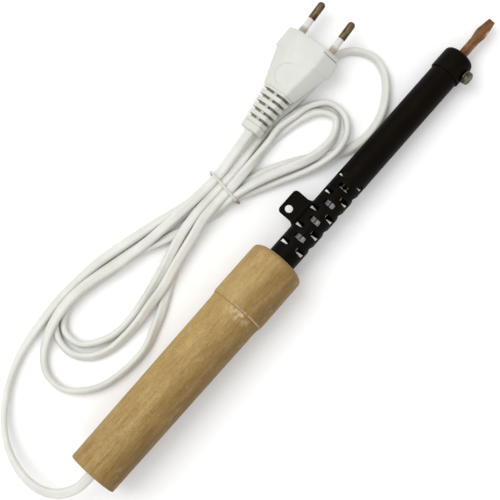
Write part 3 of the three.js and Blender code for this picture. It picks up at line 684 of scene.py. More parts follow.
def copper():
    f = Finish("oxidised_copper", IRON)
    blotch = f.noise(0.45, 5, 0.6, along=0.5)
    drawn = f.noise(5, 3, 0.6, along=0.06)
    f.colour = f.ramp(
        blotch,
        (0.3, tint(86, 52, 26)),
        (0.52, tint(122, 80, 46)),
        (0.75, tint(156, 114, 78)),
    )
    f.paint(f.spread(drawn, 0.4, 0.7, 0, 0.3), tint(160, 128, 98))
    hot = f.spread(f.x, CAP_END - 1, CAP_END + 6, 0.55, 0)
    f.paint(hot, tint(60, 38, 22))
    # The blade's unmodelled facets in painted light: painted shade makes one side greyer, and a painted
    # highlight runs along the edge on the other.
    blade = f.times(f.spread(f.x, BLADE_START, BLADE_START + 4), f.spread(f.y, 0.2, 1.6, 0, 0.45))
    f.paint(blade, tint(96, 78, 60))
    edge_painted_highlight = f.times(f.near(f.x, BLADE_WIDEST + 0.8, 2.6), f.spread(f.y, -1.7, -2.6, 0, 0.75))
    f.paint(edge_painted_highlight, tint(226, 190, 160))
    tip = f.spread(f.x, IRON_LENGTH - 2.5, IRON_LENGTH, 0, 0.4)
    f.paint(tip, tint(84, 62, 44))
    rough = f.spread(blotch, 0.3, 0.7, 0.52, 0.34)
    height = f.plus(drawn, f.times(blotch, 1.5))
    return f.surface(rough, f.bump(height, 0.4, 0.06), 0.8)


def bright_steel(name, colours, place, roughness=0.3):
    """Plated or bare metal: clouded, finely scratched, with small dull spots."""
    f = Finish(name, place)
    cloud = f.noise(0.7, 4, 0.6, along=0.25)
    scratch = f.noise(7, 3, 0.7, along=0.3)
    dull, plain, light = colours
    f.colour = f.ramp(cloud, (0.32, dull), (0.5, plain), (0.7, light))
    f.paint(f.spread(scratch, 0.6, 0.75, 0, 0.4), light)
    rough = f.spread(cloud, 0.3, 0.7, roughness + 0.12, roughness)
    rough = f.plus(rough, f.spread(scratch, 0.5, 0.8, 0, 0.12))
    return f.surface(rough, f.bump(scratch, 0.25, 0.03), 0.95)


def worn_plastic(f, light, dark, roughness, dirt_and_slot_shade, dirt_share):
    """Colours white plastic with faint clouds, and gives its roughness and its grime."""
    cloud = f.noise(0.06, 4, 0.6)
    grime = f.noise(0.5, 5, 0.7)
    f.colour = f.mix(f.spread(cloud, 0.35, 0.7), light, dark)
    f.paint(f.spread(grime, 0.6, 0.85, 0, dirt_share), dirt_and_slot_shade)
    rough = f.spread(cloud, 0.3, 0.7, roughness, roughness + 0.1)
    return f.plus(rough, f.spread(grime, 0.5, 0.8, 0, 0.1)), grime


SOFT_GLOW = {"Subsurface_Weight": 0.06, "Subsurface_Scale": 0.002}


def soft_plastic(name, place, light, dark, roughness, grain_size, grain_depth):
    """Moulded or extruded plastic with a fine surface."""
    f = Finish(name, place)
    rough, grime = worn_plastic(f, light, dark, roughness, tint(180, 176, 160), 0.45)
    grain = f.noise(grain_size, 2, 0.5)
    height = f.plus(grain, f.times(grime, 0.4))
    return f.surface(rough, f.bump(height, 0.35, grain_depth), **SOFT_GLOW)


def plug_plastic():
    """White plastic with half a faint moulded ring on top, traced by a painted shade line, and painted
    shade down in the strain relief's slots.
    """
    f = Finish("plug_plastic", PLUG)
    light, dark = tint(202, 203, 197), tint(195, 196, 187)
    rough, _ = worn_plastic(f, light, dark, 0.42, tint(180, 178, 164), 0.3)
    grain = f.noise(4, 2, 0.5)
    side_x = f.plus(f.x, RING_BACK)
    side_y = f.calc("SUBTRACT", f.y, RING_SIDE)
    away = f.calc("MULTIPLY_ADD", side_x, side_x, f.times(side_y, side_y))
    ring_groove_shade = f.near(f.calc("SQRT", away), RING_RADIUS, 0.5)
    ring_groove_shade = f.times(ring_groove_shade, f.times(f.spread(side_y, -1.5, 2.5), f.spread(f.z, 2, 3)))
    # Painted shade: a dark line along the ring's +Y half, standing in for its recessed wall in shade.
    f.paint(f.times(ring_groove_shade, 0.3), tint(150, 150, 140))
    # How deep a point lies in the six-sided relief: 1 on its faces, less in its slots.
    first_rib = 0.5 - PLUG_DEPTH
    last_rib = first_rib - RIB_PITCH * RIB_ROWS
    along = f.spread(f.x, first_rib, last_rib)
    wide, narrowing = (share * PLUG_HALF_WIDTH for share in RELIEF_WIDE)
    tall, lowering = (share * PLUG_HALF_HEIGHT for share in RELIEF_TALL)
    half_width = f.calc("MULTIPLY_ADD", along, -narrowing, wide)
    half_height = f.calc("MULTIPLY_ADD", along, -lowering, tall)
    rise = f.calc("DIVIDE", f.calc("ABSOLUTE", f.z), half_height)
    aside = f.calc("DIVIDE", f.calc("ABSOLUTE", f.y), half_width)
    slant = 1 / (1 - PLUG_HALF_TOP / PLUG_HALF_WIDTH)
    level = f.calc("MAXIMUM", rise, f.plus(f.calc("MULTIPLY_ADD", aside, slant, 1 - slant), rise))
    starts = f.spread(f.x, first_rib - 0.9, first_rib - 1.4)
    ends = f.spread(f.x, last_rib - 1.35, last_rib - 0.95)
    in_relief = f.times(starts, ends)
    # Painted shade: the deeper a point lies in the relief's slots, the darker it is painted.
    dirt_and_slot_shade = f.times(f.spread(level, 0.9, 0.76, 0, 0.85), in_relief)
    f.paint(dirt_and_slot_shade, tint(104, 100, 70))
    height = f.plus(f.times(grain, 0.5), f.times(ring_groove_shade, -2.5))
    return f.surface(rough, f.bump(height, 0.4, 0.08), **SOFT_GLOW)


def pin_sleeve_plastic():
    f = Finish("pin_sleeve_plastic", PLUG)
    cloud = f.noise(0.8, 4, 0.6)
    # Painted shade: the sleeve turns brownish near its root at the plug's face.
    root = f.spread(f.x, 2.4, 4.6, 0.85, 0)
    f.colour = f.mix(f.spread(cloud, 0.4, 0.7), tint(214, 213, 207), tint(200, 198, 190))
    f.paint(root, tint(150, 134, 116))
    grain = f.noise(6, 2, 0.5)
    return f.surface(f.spread(cloud, 0.3, 0.7, 0.35, 0.5), f.bump(grain, 0.25, 0.03))


def glass_fibre(name, place, light, dark):
    """A braid: two crossing sets of threads round the X axis."""
    f = Finish(name, place)
    around = f.calc("ARCTAN2", f.z, f.y)
    first = f.calc("SINE", f.calc("MULTIPLY_ADD", around, 6.0, f.times(f.x, 7.0)))
    second = f.calc("SINE", f.calc("MULTIPLY_ADD", around, 6.0, f.times(f.x, -7.0)))
    weave = f.spread(f.times(first, second), -1, 1)
    fuzz = f.noise(6, 3, 0.7)
    f.colour = f.mix(weave, dark, light)
    f.paint(f.spread(fuzz, 0.5, 0.8, 0, 0.4), tint(150, 146, 138))
    height = f.plus(weave, f.times(fuzz, 0.4))
    return f.surface(f.spread(fuzz, 0.3, 0.7, 0.75, 0.9), f.bump(height, 0.5, 0.1))


def mica():
    f = Finish("mica", IRON)
    flakes = f.cells(0.8, along=0.5)
    layers = f.noise(1.5, 4, 0.6, along=0.2)
    f.colour = f.ramp(
        flakes,
        (0.1, tint(150, 122, 72)),
        (0.5, tint(196, 172, 120)),
        (0.9, tint(220, 204, 160)),
    )
    f.paint(f.spread(layers, 0.4, 0.7, 0, 0.4), tint(120, 94, 56))
    rough = f.spread(flakes, 0.1, 0.8, 0.25, 0.5)
    return f.surface(rough, f.bump(flakes, 0.4, 0.05), 0.1)


def scorched_ceramic():
    f = Finish("scorched_ceramic", IRON)
    speck = f.noise(2.6, 3, 0.6)
    cloud = f.noise(0.3, 3, 0.5)
    f.colour = f.mix(f.spread(cloud, 0.3, 0.7), tint(30, 24, 16), tint(18, 14, 9))
    f.paint(f.spread(speck, 0.64, 0.74, 0, 0.6), tint(58, 50, 38))
    rough = f.spread(speck, 0.3, 0.7, 0.7, 0.9)
    return f.surface(rough, f.bump(speck, 0.4, 0.05), Specular_IOR_Level=0.15)


def heater_wire():
    f = Finish("heater_wire", IRON)
    oxide = f.noise(1.8, 4, 0.6)
    f.colour = f.ramp(
        oxide,
        (0.3, tint(86, 80, 76)),
        (0.55, tint(134, 128, 120)),
        (0.8, tint(150, 120, 96)),
    )
    return f.surface(f.spread(oxide, 0.3, 0.7, 0.35, 0.55), f.bump(oxide, 0.3, 0.04), 0.85)


def core_plastic(name, light, dark):
    f = Finish(name, IRON)
    cloud = f.noise(1.2, 4, 0.6, along=0.3)
    f.colour = f.mix(f.spread(cloud, 0.3, 0.7), light, dark)
    return f.surface(f.spread(cloud, 0.3, 0.7, 0.4, 0.55), f.bump(cloud, 0.3, 0.05))


WOOD = wood()
BLACK = black_steel()
COPPER = copper()
ZINC_TINTS = (tint(50, 48, 36), tint(92, 88, 70), tint(156, 152, 132))
ZINC = bright_steel("zinc_plate", ZINC_TINTS, IRON, 0.26)
STEEL_TINTS = (tint(96, 94, 90), tint(142, 140, 136), tint(180, 178, 172))
PLAIN_STEEL = bright_steel("plain_steel", STEEL_TINTS, IRON, 0.34)
PIN_TINTS = (tint(70, 56, 38), tint(100, 84, 60), tint(132, 116, 92))
PIN_METAL = bright_steel("pin_metal", PIN_TINTS, PLUG, 0.24)
CORD_PLASTIC = soft_plastic("cord_plastic", MM, tint(215, 215, 209), tint(203, 203, 195), 0.4, 3, 0.05)
PLUG_PLASTIC = plug_plastic()
TIE_PLASTIC = soft_plastic("tie_plastic", MM, tint(206, 205, 199), tint(190, 188, 180), 0.4, 4, 0.06)
TIE_TAIL = soft_plastic("tie_tail", MM, tint(160, 146, 130), tint(132, 116, 100), 0.5, 4, 0.06)
SPLICE_TINTS = (tint(214, 210, 200), tint(196, 190, 176))
SPLICE_PLASTIC = soft_plastic("splice_plastic", IRON, *SPLICE_TINTS, 0.45, 4, 0.05)
SLEEVE_PLASTIC = pin_sleeve_plastic()
FIBRE = glass_fibre("glass_fibre", IRON, tint(232, 232, 230), tint(190, 191, 192))
WRAP = glass_fibre("wrap_fibre", IRON, tint(58, 50, 38), tint(34, 28, 20))
MICA = mica()
SCORCHED = scorched_ceramic()
HEATER_WIRE = heater_wire()
BROWN_CORE = core_plastic("brown_core", tint(126, 78, 48), tint(98, 58, 34))
BLUE_CORE = core_plastic("blue_core", tint(70, 116, 184), tint(46, 86, 150))

CARRIED_OVER = {
    "front_bush": PLAIN_STEEL,
    "heater_core": PLAIN_STEEL,
    "inner_mica": MICA,
    "outer_mica": MICA,
    "heater_winding": HEATER_WIRE,
    "heater_wrap": WRAP,
    "rear_insulator": SCORCHED,
    "front_insulator": SCORCHED,
    "lead_wire_left": HEATER_WIRE,
    "lead_wire_right": HEATER_WIRE,
    "splice_left": PLAIN_STEEL,
    "splice_right": PLAIN_STEEL,
    "splice_sleeve_left": SPLICE_PLASTIC,
    "splice_sleeve_right": SPLICE_PLASTIC,
    "cord_core_left": BROWN_CORE,
    "cord_core_right": BLUE_CORE,
    "cord_inner_end": CORD_PLASTIC,
    "cord_clamp": PLAIN_STEEL,
}

for node_name, finish in CARRIED_OVER.items():
    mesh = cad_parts[node_name].data
    mesh.materials.clear()
    mesh.materials.append(finish)

# ---------------------------------------------------------------- handle


def make_handle():
    """The wood, with its socket in front and the cord's passage behind."""
    bore = CASING_RADIUS + 0.3
    socket = CASING_START - 0.3
    rear = (1, REAR_RADIUS)
    profile = [(0.7, CORD_BORE), (0.2, 3.3), (0, 3.8), (0, 8), (0, 12.2), (0.12, 12.7), (0.45, 12.92), rear]
    profile += spaced(rear, (COLLAR_START - 4, GRIP_RADIUS), 6)
    for ahead, radius in (
        (-2.6, GRIP_RADIUS + 0.05),
        (-1.4, GRIP_RADIUS + 0.18),
        (-0.6, GRIP_RADIUS + 0.4),
        (-0.2, COLLAR_RADIUS - 0.14),
        (0.1, COLLAR_RADIUS - 0.03),
        (0.5, COLLAR_RADIUS),
    ):
        profile.append((COLLAR_START + ahead, radius))
    corner = HANDLE_LENGTH - COLLAR_CORNER - 1.2
    profile += spaced(profile[-1], (corner, COLLAR_RADIUS), 6)
    profile += arc(corner, COLLAR_RADIUS - COLLAR_CORNER, COLLAR_CORNER, 84, 24, 8)
    profile += [(136.25, 11.4), (136.65, 10), (136.9, 8.7), (136.8, 8.1), (136.4, bore)]
    profile += [(socket, bore), (socket, PASSAGE_RADIUS), (PASSAGE_START, PASSAGE_RADIUS)]
    profile += [(PASSAGE_START, CORD_BORE), (0.7, CORD_BORE)]
    make_piece("handle_wood", turned(profile, 128), IRON, WOOD, ["handle"], 40)


# ---------------------------------------------------------------- casing

SHEET_MIDDLE = CASING_RADIUS - SHEET / 2
FOLD_RADIUS = 2.0
LUG_LEVEL = 0.5
FOLD_ANGLE = math.asin((LUG_LEVEL + FOLD_RADIUS) / (SHEET_MIDDLE + FOLD_RADIUS))
FOLD_START = SHEET_MIDDLE * FOLD_ANGLE
FOLD_TURN = math.pi / 2 - FOLD_ANGLE
FOLD_LENGTH = FOLD_RADIUS * FOLD_TURN
SEAM_EDGE = SEAM_WIDTH / 2
FOLD_CENTRE_Y = (SHEET_MIDDLE + FOLD_RADIUS) * math.cos(FOLD_ANGLE)
FOLD_CENTRE_Z = (SHEET_MIDDLE + FOLD_RADIUS) * math.sin(FOLD_ANGLE)
LUG_FLAT_START = FOLD_START - FOLD_LENGTH
LUG_FLARE = 1.5


def on_tube(x, v, offset):
    angle = v / SHEET_MIDDLE
    radius = SHEET_MIDDLE + offset
    return (x, radius * math.cos(angle), radius * math.sin(angle))


def on_lug(x, v, offset):
    """Bent out of the tube near its seam, and then straight out level."""
    past = FOLD_START - v
    if past <= 0:
        return on_tube(x, v, offset)
    turn = FOLD_ANGLE + math.pi + min(past / FOLD_RADIUS, FOLD_TURN)
    reach = FOLD_RADIUS - offset
    y = FOLD_CENTRE_Y + reach * math.cos(turn)
    z = FOLD_CENTRE_Z + reach * math.sin(turn)
    return (x, y + max(0, past - FOLD_LENGTH), z)


def casing_shape(x, v, offset):
    beside = abs(x - LUG_CENTRE) - LUG_WIDTH / 2
    share = max(0, min(1, 1 - beside / LUG_FLARE))
    share = share * share * (3 - 2 * share)
    tube = Vector(on_tube(x, v, offset))
    if share == 0 or v > FOLD_START + 4:
        return tuple(tube)
    return tuple(tube.lerp(Vector(on_lug(x, v, offset)), share))


def lug_tab():
    """The seam edge's stretch that goes out round the lug, with hollow corners at its root."""
    tip = LUG_FLAT_START - (LUG_REACH - FOLD_CENTRE_Y)
    left, right = LUG_CENTRE - LUG_WIDTH / 2, LUG_CENTRE + LUG_WIDTH / 2
    root = SEAM_EDGE - 0.3 - LUG_FLARE
    corner = tip + LUG_CORNER
    tab = arc(left - LUG_FLARE, root, LUG_FLARE, 90, 0, 5)
    tab += arc(left + LUG_CORNER, corner, LUG_CORNER, 180, 270, 6)
    tab += arc(right - LUG_CORNER, corner, LUG_CORNER, 270, 360, 6)
    tab += arc(right + LUG_FLARE, root, LUG_FLARE, 180, 90, 5)
    return tab


def slot_outline(x, angle):
    length = 2 * SHEET_MIDDLE * math.radians(SLOT_HALF_ANGLE)
    middle = SHEET_MIDDLE * math.radians(angle)
    points = rounded_outline(SLOT_WIDTH, length, SLOT_WIDTH * 0.4)
    return [(x + u, middle + v) for u, v in points[::-1]]


def hole_outline(x, v, radius, sides=28):
    return [(x + a, v - b) for a, b in circle(radius, sides)]


REAR_SEAM = (120, 126, 132, 137, 141, 145, 149, 152)  # places along the seam's edges
FRONT_SEAM = (172, 176, 180, 184, 188, 194, 202, 212, 222, 232, 242, 252, 262)
FAR_SEAM = (*range(262, 193, -10), 194, *range(188, 145, -6), 140, 132, 124)
ROUND_STEPS = 64  # along each end of the casing
GRID_STEPS = 84  # round it, between its edges


def make_casing():
    """One sheet with its slots and its lug, rolled to a tube whose edges meet at a seam."""
    start, end = CASING_START, CASING_END
    near, far = SEAM_EDGE, 2 * math.pi * SHEET_MIDDLE - SEAM_EDGE
    width = far - near
    outline = [(x, near) for x in (start, *REAR_SEAM)] + lug_tab()
    outline += [(x, near) for x in (*FRONT_SEAM, end)]
    outline += [(end, near + width * k / ROUND_STEPS) for k in range(1, ROUND_STEPS + 1)]
    outline += [(x, far) for x in FAR_SEAM]
    outline += [(start, far - width * k / ROUND_STEPS) for k in range(ROUND_STEPS)]
    holes = []
    for row in (LONG_ROW, SHORT_ROW):
        for angle in row["angles"]:
            for i in range(row["count"]):
                holes.append(slot_outline(HANDLE_LENGTH + row["first"] + i * SLOT_PITCH, angle))
    screw_at = SHEET_MIDDLE * math.radians(180 - SCREW_ANGLE)
    holes.append(hole_outline(SCREW_X, screw_at, SCREW_HOLE))
    lug_hole_at = LUG_FLAT_START - (LUG_HOLE_REACH - FOLD_CENTRE_Y)
    holes.append(hole_outline(LUG_HOLE_X, lug_hole_at, LUG_HOLE_RADIUS, 40))
    # The columns of points are close together along the lug and the slots.
    columns = [start + 2 + 3 * k for k in range(7)]
    columns += [136 + 1.1 * k for k in range(58)]
    columns += [202 + 4 * k for k in range(17)]
    grid = [(x, near + width * k / GRID_STEPS) for x in columns for k in range(1, GRID_STEPS)]
    across = [LUG_CENTRE - 6.6 + 13.2 * i / 13 for i in range(14)]
    grid += [(x, near - 0.3 - 0.75 * k) for x in across for k in range(18)]
    part = sheet(outline, holes, grid, casing_shape, SHEET)
    make_piece("casing_tube", part, IRON, BLACK, ["casing"], 38)


# ---------------------------------------------------------------- hot end

UPRIGHT = Matrix.Rotation(-math.pi / 2, 4, "Y")  # a body turned about X stands up along Z


def rod(start, end, radius):
    return turned([(start, 0), (start, radius), (end, radius), (end, 0)], 32)


def make_end_cap():
    """A pressed cap with rolled edges, a hole for the bit and one for the screw."""
    inner = CASING_RADIUS + 0.25
    wall = CAP_RADIUS - inner
    corner = CAP_END - CAP_CORNER
    turn_radius = CAP_RADIUS - CAP_CORNER
    hole = BIT_RADIUS + 0.35
    back = CAP_END - wall - 0.1
    profile = [(CAP_START + 0.15, inner), (CAP_START, inner + 0.15), (CAP_START, CAP_RADIUS - 0.12)]
    profile += [(CAP_START + 0.12, CAP_RADIUS), (CAP_START + 0.8, CAP_RADIUS), (corner - 1, CAP_RADIUS)]
    profile += arc(corner, turn_radius, CAP_CORNER, 90, 6, 10)
    profile += [(CAP_END, turn_radius - 0.4), (CAP_END - 0.05, hole + 0.4), (CAP_END - 0.2, hole)]
    profile += [(back, hole), (back, turn_radius)]
    profile += arc(corner, turn_radius, CAP_CORNER - wall, 0, 90, 6)
    profile += [(CAP_START + 0.15, inner)]
    obj = make_piece("end_cap_steel", turned(profile), IRON, BLACK, ["end_cap"], 38)
    cut_by(obj, [moved(rod(4, 12, SCREW_HOLE), UPRIGHT)], SCREW)


def smooth_step(value):
    value = max(0, min(1, value))
    return value * value * (3 - 2 * value)


BIT_SIDES = 56
GIRTH = 0.09  # how much thicker the rod is outside the cap
GIRTH_START = 264
GIRTH_RISE = 6
FORGED_START = 283.5  # where the rod begins to widen
FINE_START = FORGED_START - 1  # from here the rings are close together
FINE_REACH = 17
FINE_RINGS = 36


def bit_ring(x):
    """The bit's section at x: a circle that flattens and widens to a blade with chamfered sides."""
    falling = max(0, (x - BLADE_WIDEST) / (IRON_LENGTH - BLADE_WIDEST))
    widening = smooth_step((x - FORGED_START) / (BLADE_WIDEST - FORGED_START))
    wide = BIT_RADIUS + (BLADE_HALF_WIDTH - BIT_RADIUS) * widening
    wide -= (BLADE_HALF_WIDTH - EDGE_HALF_WIDTH) * falling
    along = max(0, (x - BLADE_START) / (IRON_LENGTH - BLADE_START))
    thick = BIT_RADIUS + (EDGE_HALF_THICKNESS - BIT_RADIUS) * along
    girth = 1 + GIRTH * smooth_step((x - GIRTH_START) / GIRTH_RISE)
    ring = []
    for y, z in circle(BIT_RADIUS, BIT_SIDES):
        if x < BLADE_START:
            y, z = y * girth, z * girth
        flat = max(-thick * girth, min(thick * girth, z))
        if along > 0:
            flat = 0.92 * flat + 0.08 * thick * math.tanh(1.4 * z / thick)
        ring.append((x, y * wide / BIT_RADIUS, flat))
    return ring


def squeezed(ring, x, wide, tall):
    return [(x, y * wide, z * tall) for _, y, z in ring]


def make_bit():
    start = bit_ring(BIT_INNER_END)
    chamfer = 1.7 / BIT_RADIUS
    rings = [squeezed(start, BIT_INNER_END, chamfer, chamfer), squeezed(start, BIT_INNER_END + 0.5, 1, 1)]
    rings += [bit_ring(x) for x in range(BIT_INNER_END + 4, 282, 4)]
    rings += [bit_ring(FINE_START + FINE_REACH * i / (FINE_RINGS - 1)) for i in range(FINE_RINGS)]
    last = bit_ring(IRON_LENGTH)
    rings += [squeezed(last, IRON_LENGTH - 0.15, 0.985, 0.9), squeezed(last, IRON_LENGTH, 0.93, 0.62)]
    make_piece("copper_bit", lofted(rings), IRON, COPPER, ["soldering_bit"], 30, "bit")


# ---------------------------------------------------------------- clamp screw


THREAD_DEPTH = 0.28


def screw_thread(start, end, radius, sides=24, per_pitch=8):
    """Rings of a thread: the radius rises and falls along a helix."""
    rings = []
    count = round((end - start) / SCREW_PITCH * per_pitch)
    for i in range(count + 1):
        x = start + (end - start) * i / count
        ring = []
        for k, (y, z) in enumerate(circle(1, sides)):
            phase = (x / SCREW_PITCH - k / sides) % 1
            height = radius - THREAD_DEPTH * abs(2 * phase - 1)
            ring.append((x, height * y, height * z))
        rings.append(ring)
    return rings


def make_screw():
    """A threaded shank, and a domed head with a screwdriver slot."""
    tip = BIT_RADIUS + 0.3
    rings = [[(tip, y, z) for y, z in circle(1.1, 24)]]
    rings += screw_thread(tip + 0.4, SCREW_HEAD_START + 0.2, SCREW_SHANK)
    low = SCREW_HEAD_START
    brim = SCREW_HEAD - 0.06
    profile = [(low, 0), (low, SCREW_HEAD - 0.15), (low + 0.12, SCREW_HEAD), (low + 0.9, SCREW_HEAD)]
    profile += [(low + 1.2, brim)]
    for i in range(1, 8):
        angle = math.pi / 2 * i / 8
        profile.append((low + 1.2 + 1.15 * math.sin(angle), brim * math.cos(angle) ** 0.6))
    profile.append((SCREW_HEAD_END, 0))
    head = moved(turned(profile, 64), UPRIGHT)
    obj = make_piece("clamp_screw_head", head, SCREW, ZINC, body="screw")
    cut_by(obj, [rounded_box((9, 0.85, 2.2), (0, 0, SCREW_HEAD_END + 0.1), 0.12)], SCREW)
    shank = moved(lofted(rings), UPRIGHT)
    make_piece("clamp_screw_shank", shank, SCREW, ZINC, ["clamp_screw"], 50, "screw")


def make_washer():
    top = SCREW_HEAD_START - 0.3
    low, inner = top - WASHER_THICKNESS, SCREW_HOLE
    profile = [(low, inner), (low, WASHER_RADIUS - 0.1), (low + 0.1, WASHER_RADIUS)]
    profile += [(top - 0.1, WASHER_RADIUS), (top, WASHER_RADIUS - 0.12), (top, inner + 0.1)]
    profile += [(top - 0.1, inner), (low, inner)]
    part = moved(turned(profile, 64), UPRIGHT)
    make_piece("clamp_washer", part, SCREW, ZINC, ["screw_washer"], body="washer")


# ---------------------------------------------------------------- sleeves seen through the slots

SLEEVE_START = 110
SLEEVE_PARTING = 138  # behind this the two sleeves part from each other
SLEEVE_END = 184


def make_lead_sleeves():
    """Two sleeves that wave a little and part from each other where they reach the handle."""
    for side, label in ((1, "left"), (-1, "right")):
        path = []
        for x in range(SLEEVE_END, SLEEVE_START - 1, -2):
            parted = smooth_step((SLEEVE_PARTING - x) / (SLEEVE_PARTING - SLEEVE_START))
            spread = (SPLICE_SPACING - LEAD_SPACING) * parted
            path.append((x, side * (LEAD_SPACING + spread + 0.02), 0.12 * math.sin(x * 0.21 + side)))
        part = swept(circle(SLEEVE_RADIUS, 24), path)
        name = f"fibre_sleeve_{label}"
        make_piece(name, part, IRON, FIBRE, [f"lead_sleeve_{label}"])


# ---------------------------------------------------------------- plug


def six_corners(wide, flat, tall):
    return [(wide, 0), (flat, tall), (-flat, tall), (-wide, 0), (-flat, -tall), (flat, -tall)]


def rounded_corners(corners, size, steps=4):
    """A polygon whose corners are cut to smooth turns."""
    points = []
    for i, corner in enumerate(corners):
        here = Vector(corner)
        before = (Vector(corners[i - 1]) - here).normalized()
        after = (Vector(corners[(i + 1) % len(corners)]) - here).normalized()
        first, last = here + before * size, here + after * size
        for k in range(steps + 1):
            t = k / steps
            points.append(tuple(first * (1 - t) ** 2 + here * 2 * t * (1 - t) + last * t * t))
    return points


def plug_ring(x, wide, flat, tall, size=1.0, narrower=0):
    """The plug's section at x. Its right side can be narrower than its left."""
    outline = rounded_corners(six_corners(wide, flat, tall), size)
    right = (wide - narrower) / wide
    return [(x, y * right if y < -flat * 0.9 else y, z) for y, z in outline]


LIP_STEP = 1.1  # how far the lip round the pins' face stands back on one side
LIP_GROOVE = LIP_STEP + 1.2
TAPER_STEPS = 8


def make_plug_body():
    """A flanged front with a lip round the pins' face, and sides that taper to the strain relief."""
    w, t, h = PLUG_HALF_WIDTH, PLUG_HALF_TOP, PLUG_HALF_HEIGHT
    rings = []
    for x, less in ((0, 0.75), (-0.12, 0.4), (-0.4, 0.12), (-0.8, 0)):
        rings.append(plug_ring(x, w - less, t - less, h - less, narrower=LIP_STEP))
    for x, narrower in ((-2.1, LIP_STEP), (-2.2, LIP_GROOVE), (-2.7, LIP_GROOVE), (-2.8, 0)):
        rings.append(plug_ring(x, w, t - 0.04, h, narrower=narrower))
    for x, grow in ((-3, 0.08), (-6, 0.25), (-9, 0.42), (-11.2, 0.5)):
        rings.append(plug_ring(x, w + grow, t, h))
    rings.append(plug_ring(-11.5, w + 0.35, t - 0.06, h - 0.03))
    rings.append(plug_ring(-11.7, w - 0.35, t - 0.2, h - 0.06))
    for i in range(TAPER_STEPS + 1):
        back = i / TAPER_STEPS
        wide, flat, tall = w * (0.965 - 0.36 * back), t * (0.97 - 0.37 * back), h * (0.985 - 0.2 * back)
        rings.append(plug_ring(-12 - (PLUG_DEPTH - 12.4) * back, wide, flat, tall))
    rings.append(plug_ring(-PLUG_DEPTH + 0.1, w * 0.58, t * 0.57, h * 0.765))
    rings.append(plug_ring(-PLUG_DEPTH, w * 0.5, t * 0.5, h * 0.7))
    obj = make_piece("plug_shell", lofted(rings), PLUG, PLUG_PLASTIC, ["plug_body"], 28)
    holes = []
    for side in (-1, 1):
        hole = rod(-9, 1, PIN_RADIUS + 0.25)
        holes.append(moved(hole, Matrix.Translation((0, side * PIN_SPACING / 2, 0))))
    cut_by(obj, holes, PLUG, 28)
    return obj


RIB_DEPTH = 0.72  # the neck between two ribs, as a share of their width
HALF_BRIDGE = 0.9  # half the material left between the two slots of a row


def make_strain_relief():
    """Ribs with necks between them, cut through by rows of slots on both faces."""
    w, t, h = PLUG_HALF_WIDTH, PLUG_HALF_TOP, PLUG_HALF_HEIGHT
    start = -PLUG_DEPTH + 0.4
    end = -PLUG_DEPTH - RELIEF_LENGTH
    rings = [plug_ring(start, w * 0.5, t * 0.5, h * 0.7)]
    front = start - 0.2
    for row in range(RIB_ROWS + 1):
        back = -PLUG_DEPTH - 1.35 - RIB_PITCH * row
        share = (row + 0.5) / RIB_ROWS
        wide = w * (RELIEF_WIDE[0] - RELIEF_WIDE[1] * share)
        tall = h * (RELIEF_TALL[0] - RELIEF_TALL[1] * share)
        flat = t * (0.56 - 0.14 * share)
        if row == RIB_ROWS:
            back = end + 4
        for x, less in ((front, 0.3), (front - 0.2, 0), (back + 0.2, 0), (back, 0.3)):
            rings.append(plug_ring(x, wide - less, flat - less, tall - less, 0.8))
        if row < RIB_ROWS:
            for x in (back - 0.15, back - 1.15):
                rings.append(plug_ring(x, wide * RIB_DEPTH, flat * RIB_DEPTH, tall - 0.75, 0.8))
        front = back - 1.3
    wide, flat, tall = w * 0.4, t * 0.46, h * 0.62
    for x, less in ((end + 3.8, 0.3), (end + 3.4, 0), (end + 0.7, 0.1), (end + 0.25, 0.35), (end, 0.9)):
        rings.append(plug_ring(x, wide - less, flat - less, tall - less))
    part = lofted(rings)
    obj = make_piece("plug_strain_relief", part, PLUG, PLUG_PLASTIC, (), 28)
    cutters = []
    for row in range(RIB_ROWS):
        x = -PLUG_DEPTH - 2 - row * RIB_PITCH
        reach = 7.4 - row * 0.55
        for side in (-1, 1):
            for face in (-1, 1):
                centre = (x, side * (reach + HALF_BRIDGE) / 2, face * 5.4)
                cutters.append(rounded_box((1.25, reach - HALF_BRIDGE, 5.2), centre, 0.4))
    cut_by(obj, cutters, PLUG, 28)
    return obj


PIN_CORE = 1.3  # radius of the pin inside its sleeve
PIN_TIP = 1.9  # length of its round end
SLEEVE_BORE = 1.45
SLEEVE_SHOULDER = 4.4


def make_pins():
    """Metal pins with round ends, in sleeves that are a little thinner past their shoulder."""
    made = []
    neck, length, radius = PIN_SLEEVE_LENGTH, PIN_LENGTH, PIN_RADIUS
    pin = [(-8, 0), (-8, PIN_CORE), (neck + 0.1, PIN_CORE), (neck + 0.1, radius - 0.12)]
    pin += [(neck + 0.22, radius), (neck + 4.1, radius), (length - PIN_TIP, radius)]
    for i in range(1, 9):
        angle = math.pi / 2 * i / 9
        pin.append((length - PIN_TIP + PIN_TIP * math.sin(angle), radius * math.cos(angle) ** 0.8))
    pin.append((length, 0))
    sleeve = [(-7, SLEEVE_BORE), (-7, radius), (SLEEVE_SHOULDER - 0.3, radius)]
    sleeve += [(SLEEVE_SHOULDER, radius - 0.2), (neck - 0.2, radius - 0.25), (neck, radius - 0.4)]
    sleeve += [(neck, SLEEVE_BORE), (-7, SLEEVE_BORE)]
    for side, label in ((1, "left"), (-1, "right")):
        place = PLUG @ Matrix.Translation((0, side * PIN_SPACING / 2, 0))
        for title, profile, material, node, slot in (
            ("pin_metal", pin, PIN_METAL, "plug_pin", "pin_metal"),
            ("pin_cover", sleeve, SLEEVE_PLASTIC, "pin_sleeve", "sleeve_plastic"),
        ):
            name = f"{title}_{label}"
            part = turned(profile, 48)
            made.append(make_piece(name, part, place, material, [f"{node}_{label}"], 40))
    return made


# ---------------------------------------------------------------- cord

HOLLOW = 0.12  # depth of the groove between the two cores
CORD_STEP = 2
BENCH_GAP = 0.12  # between the cord and the bench


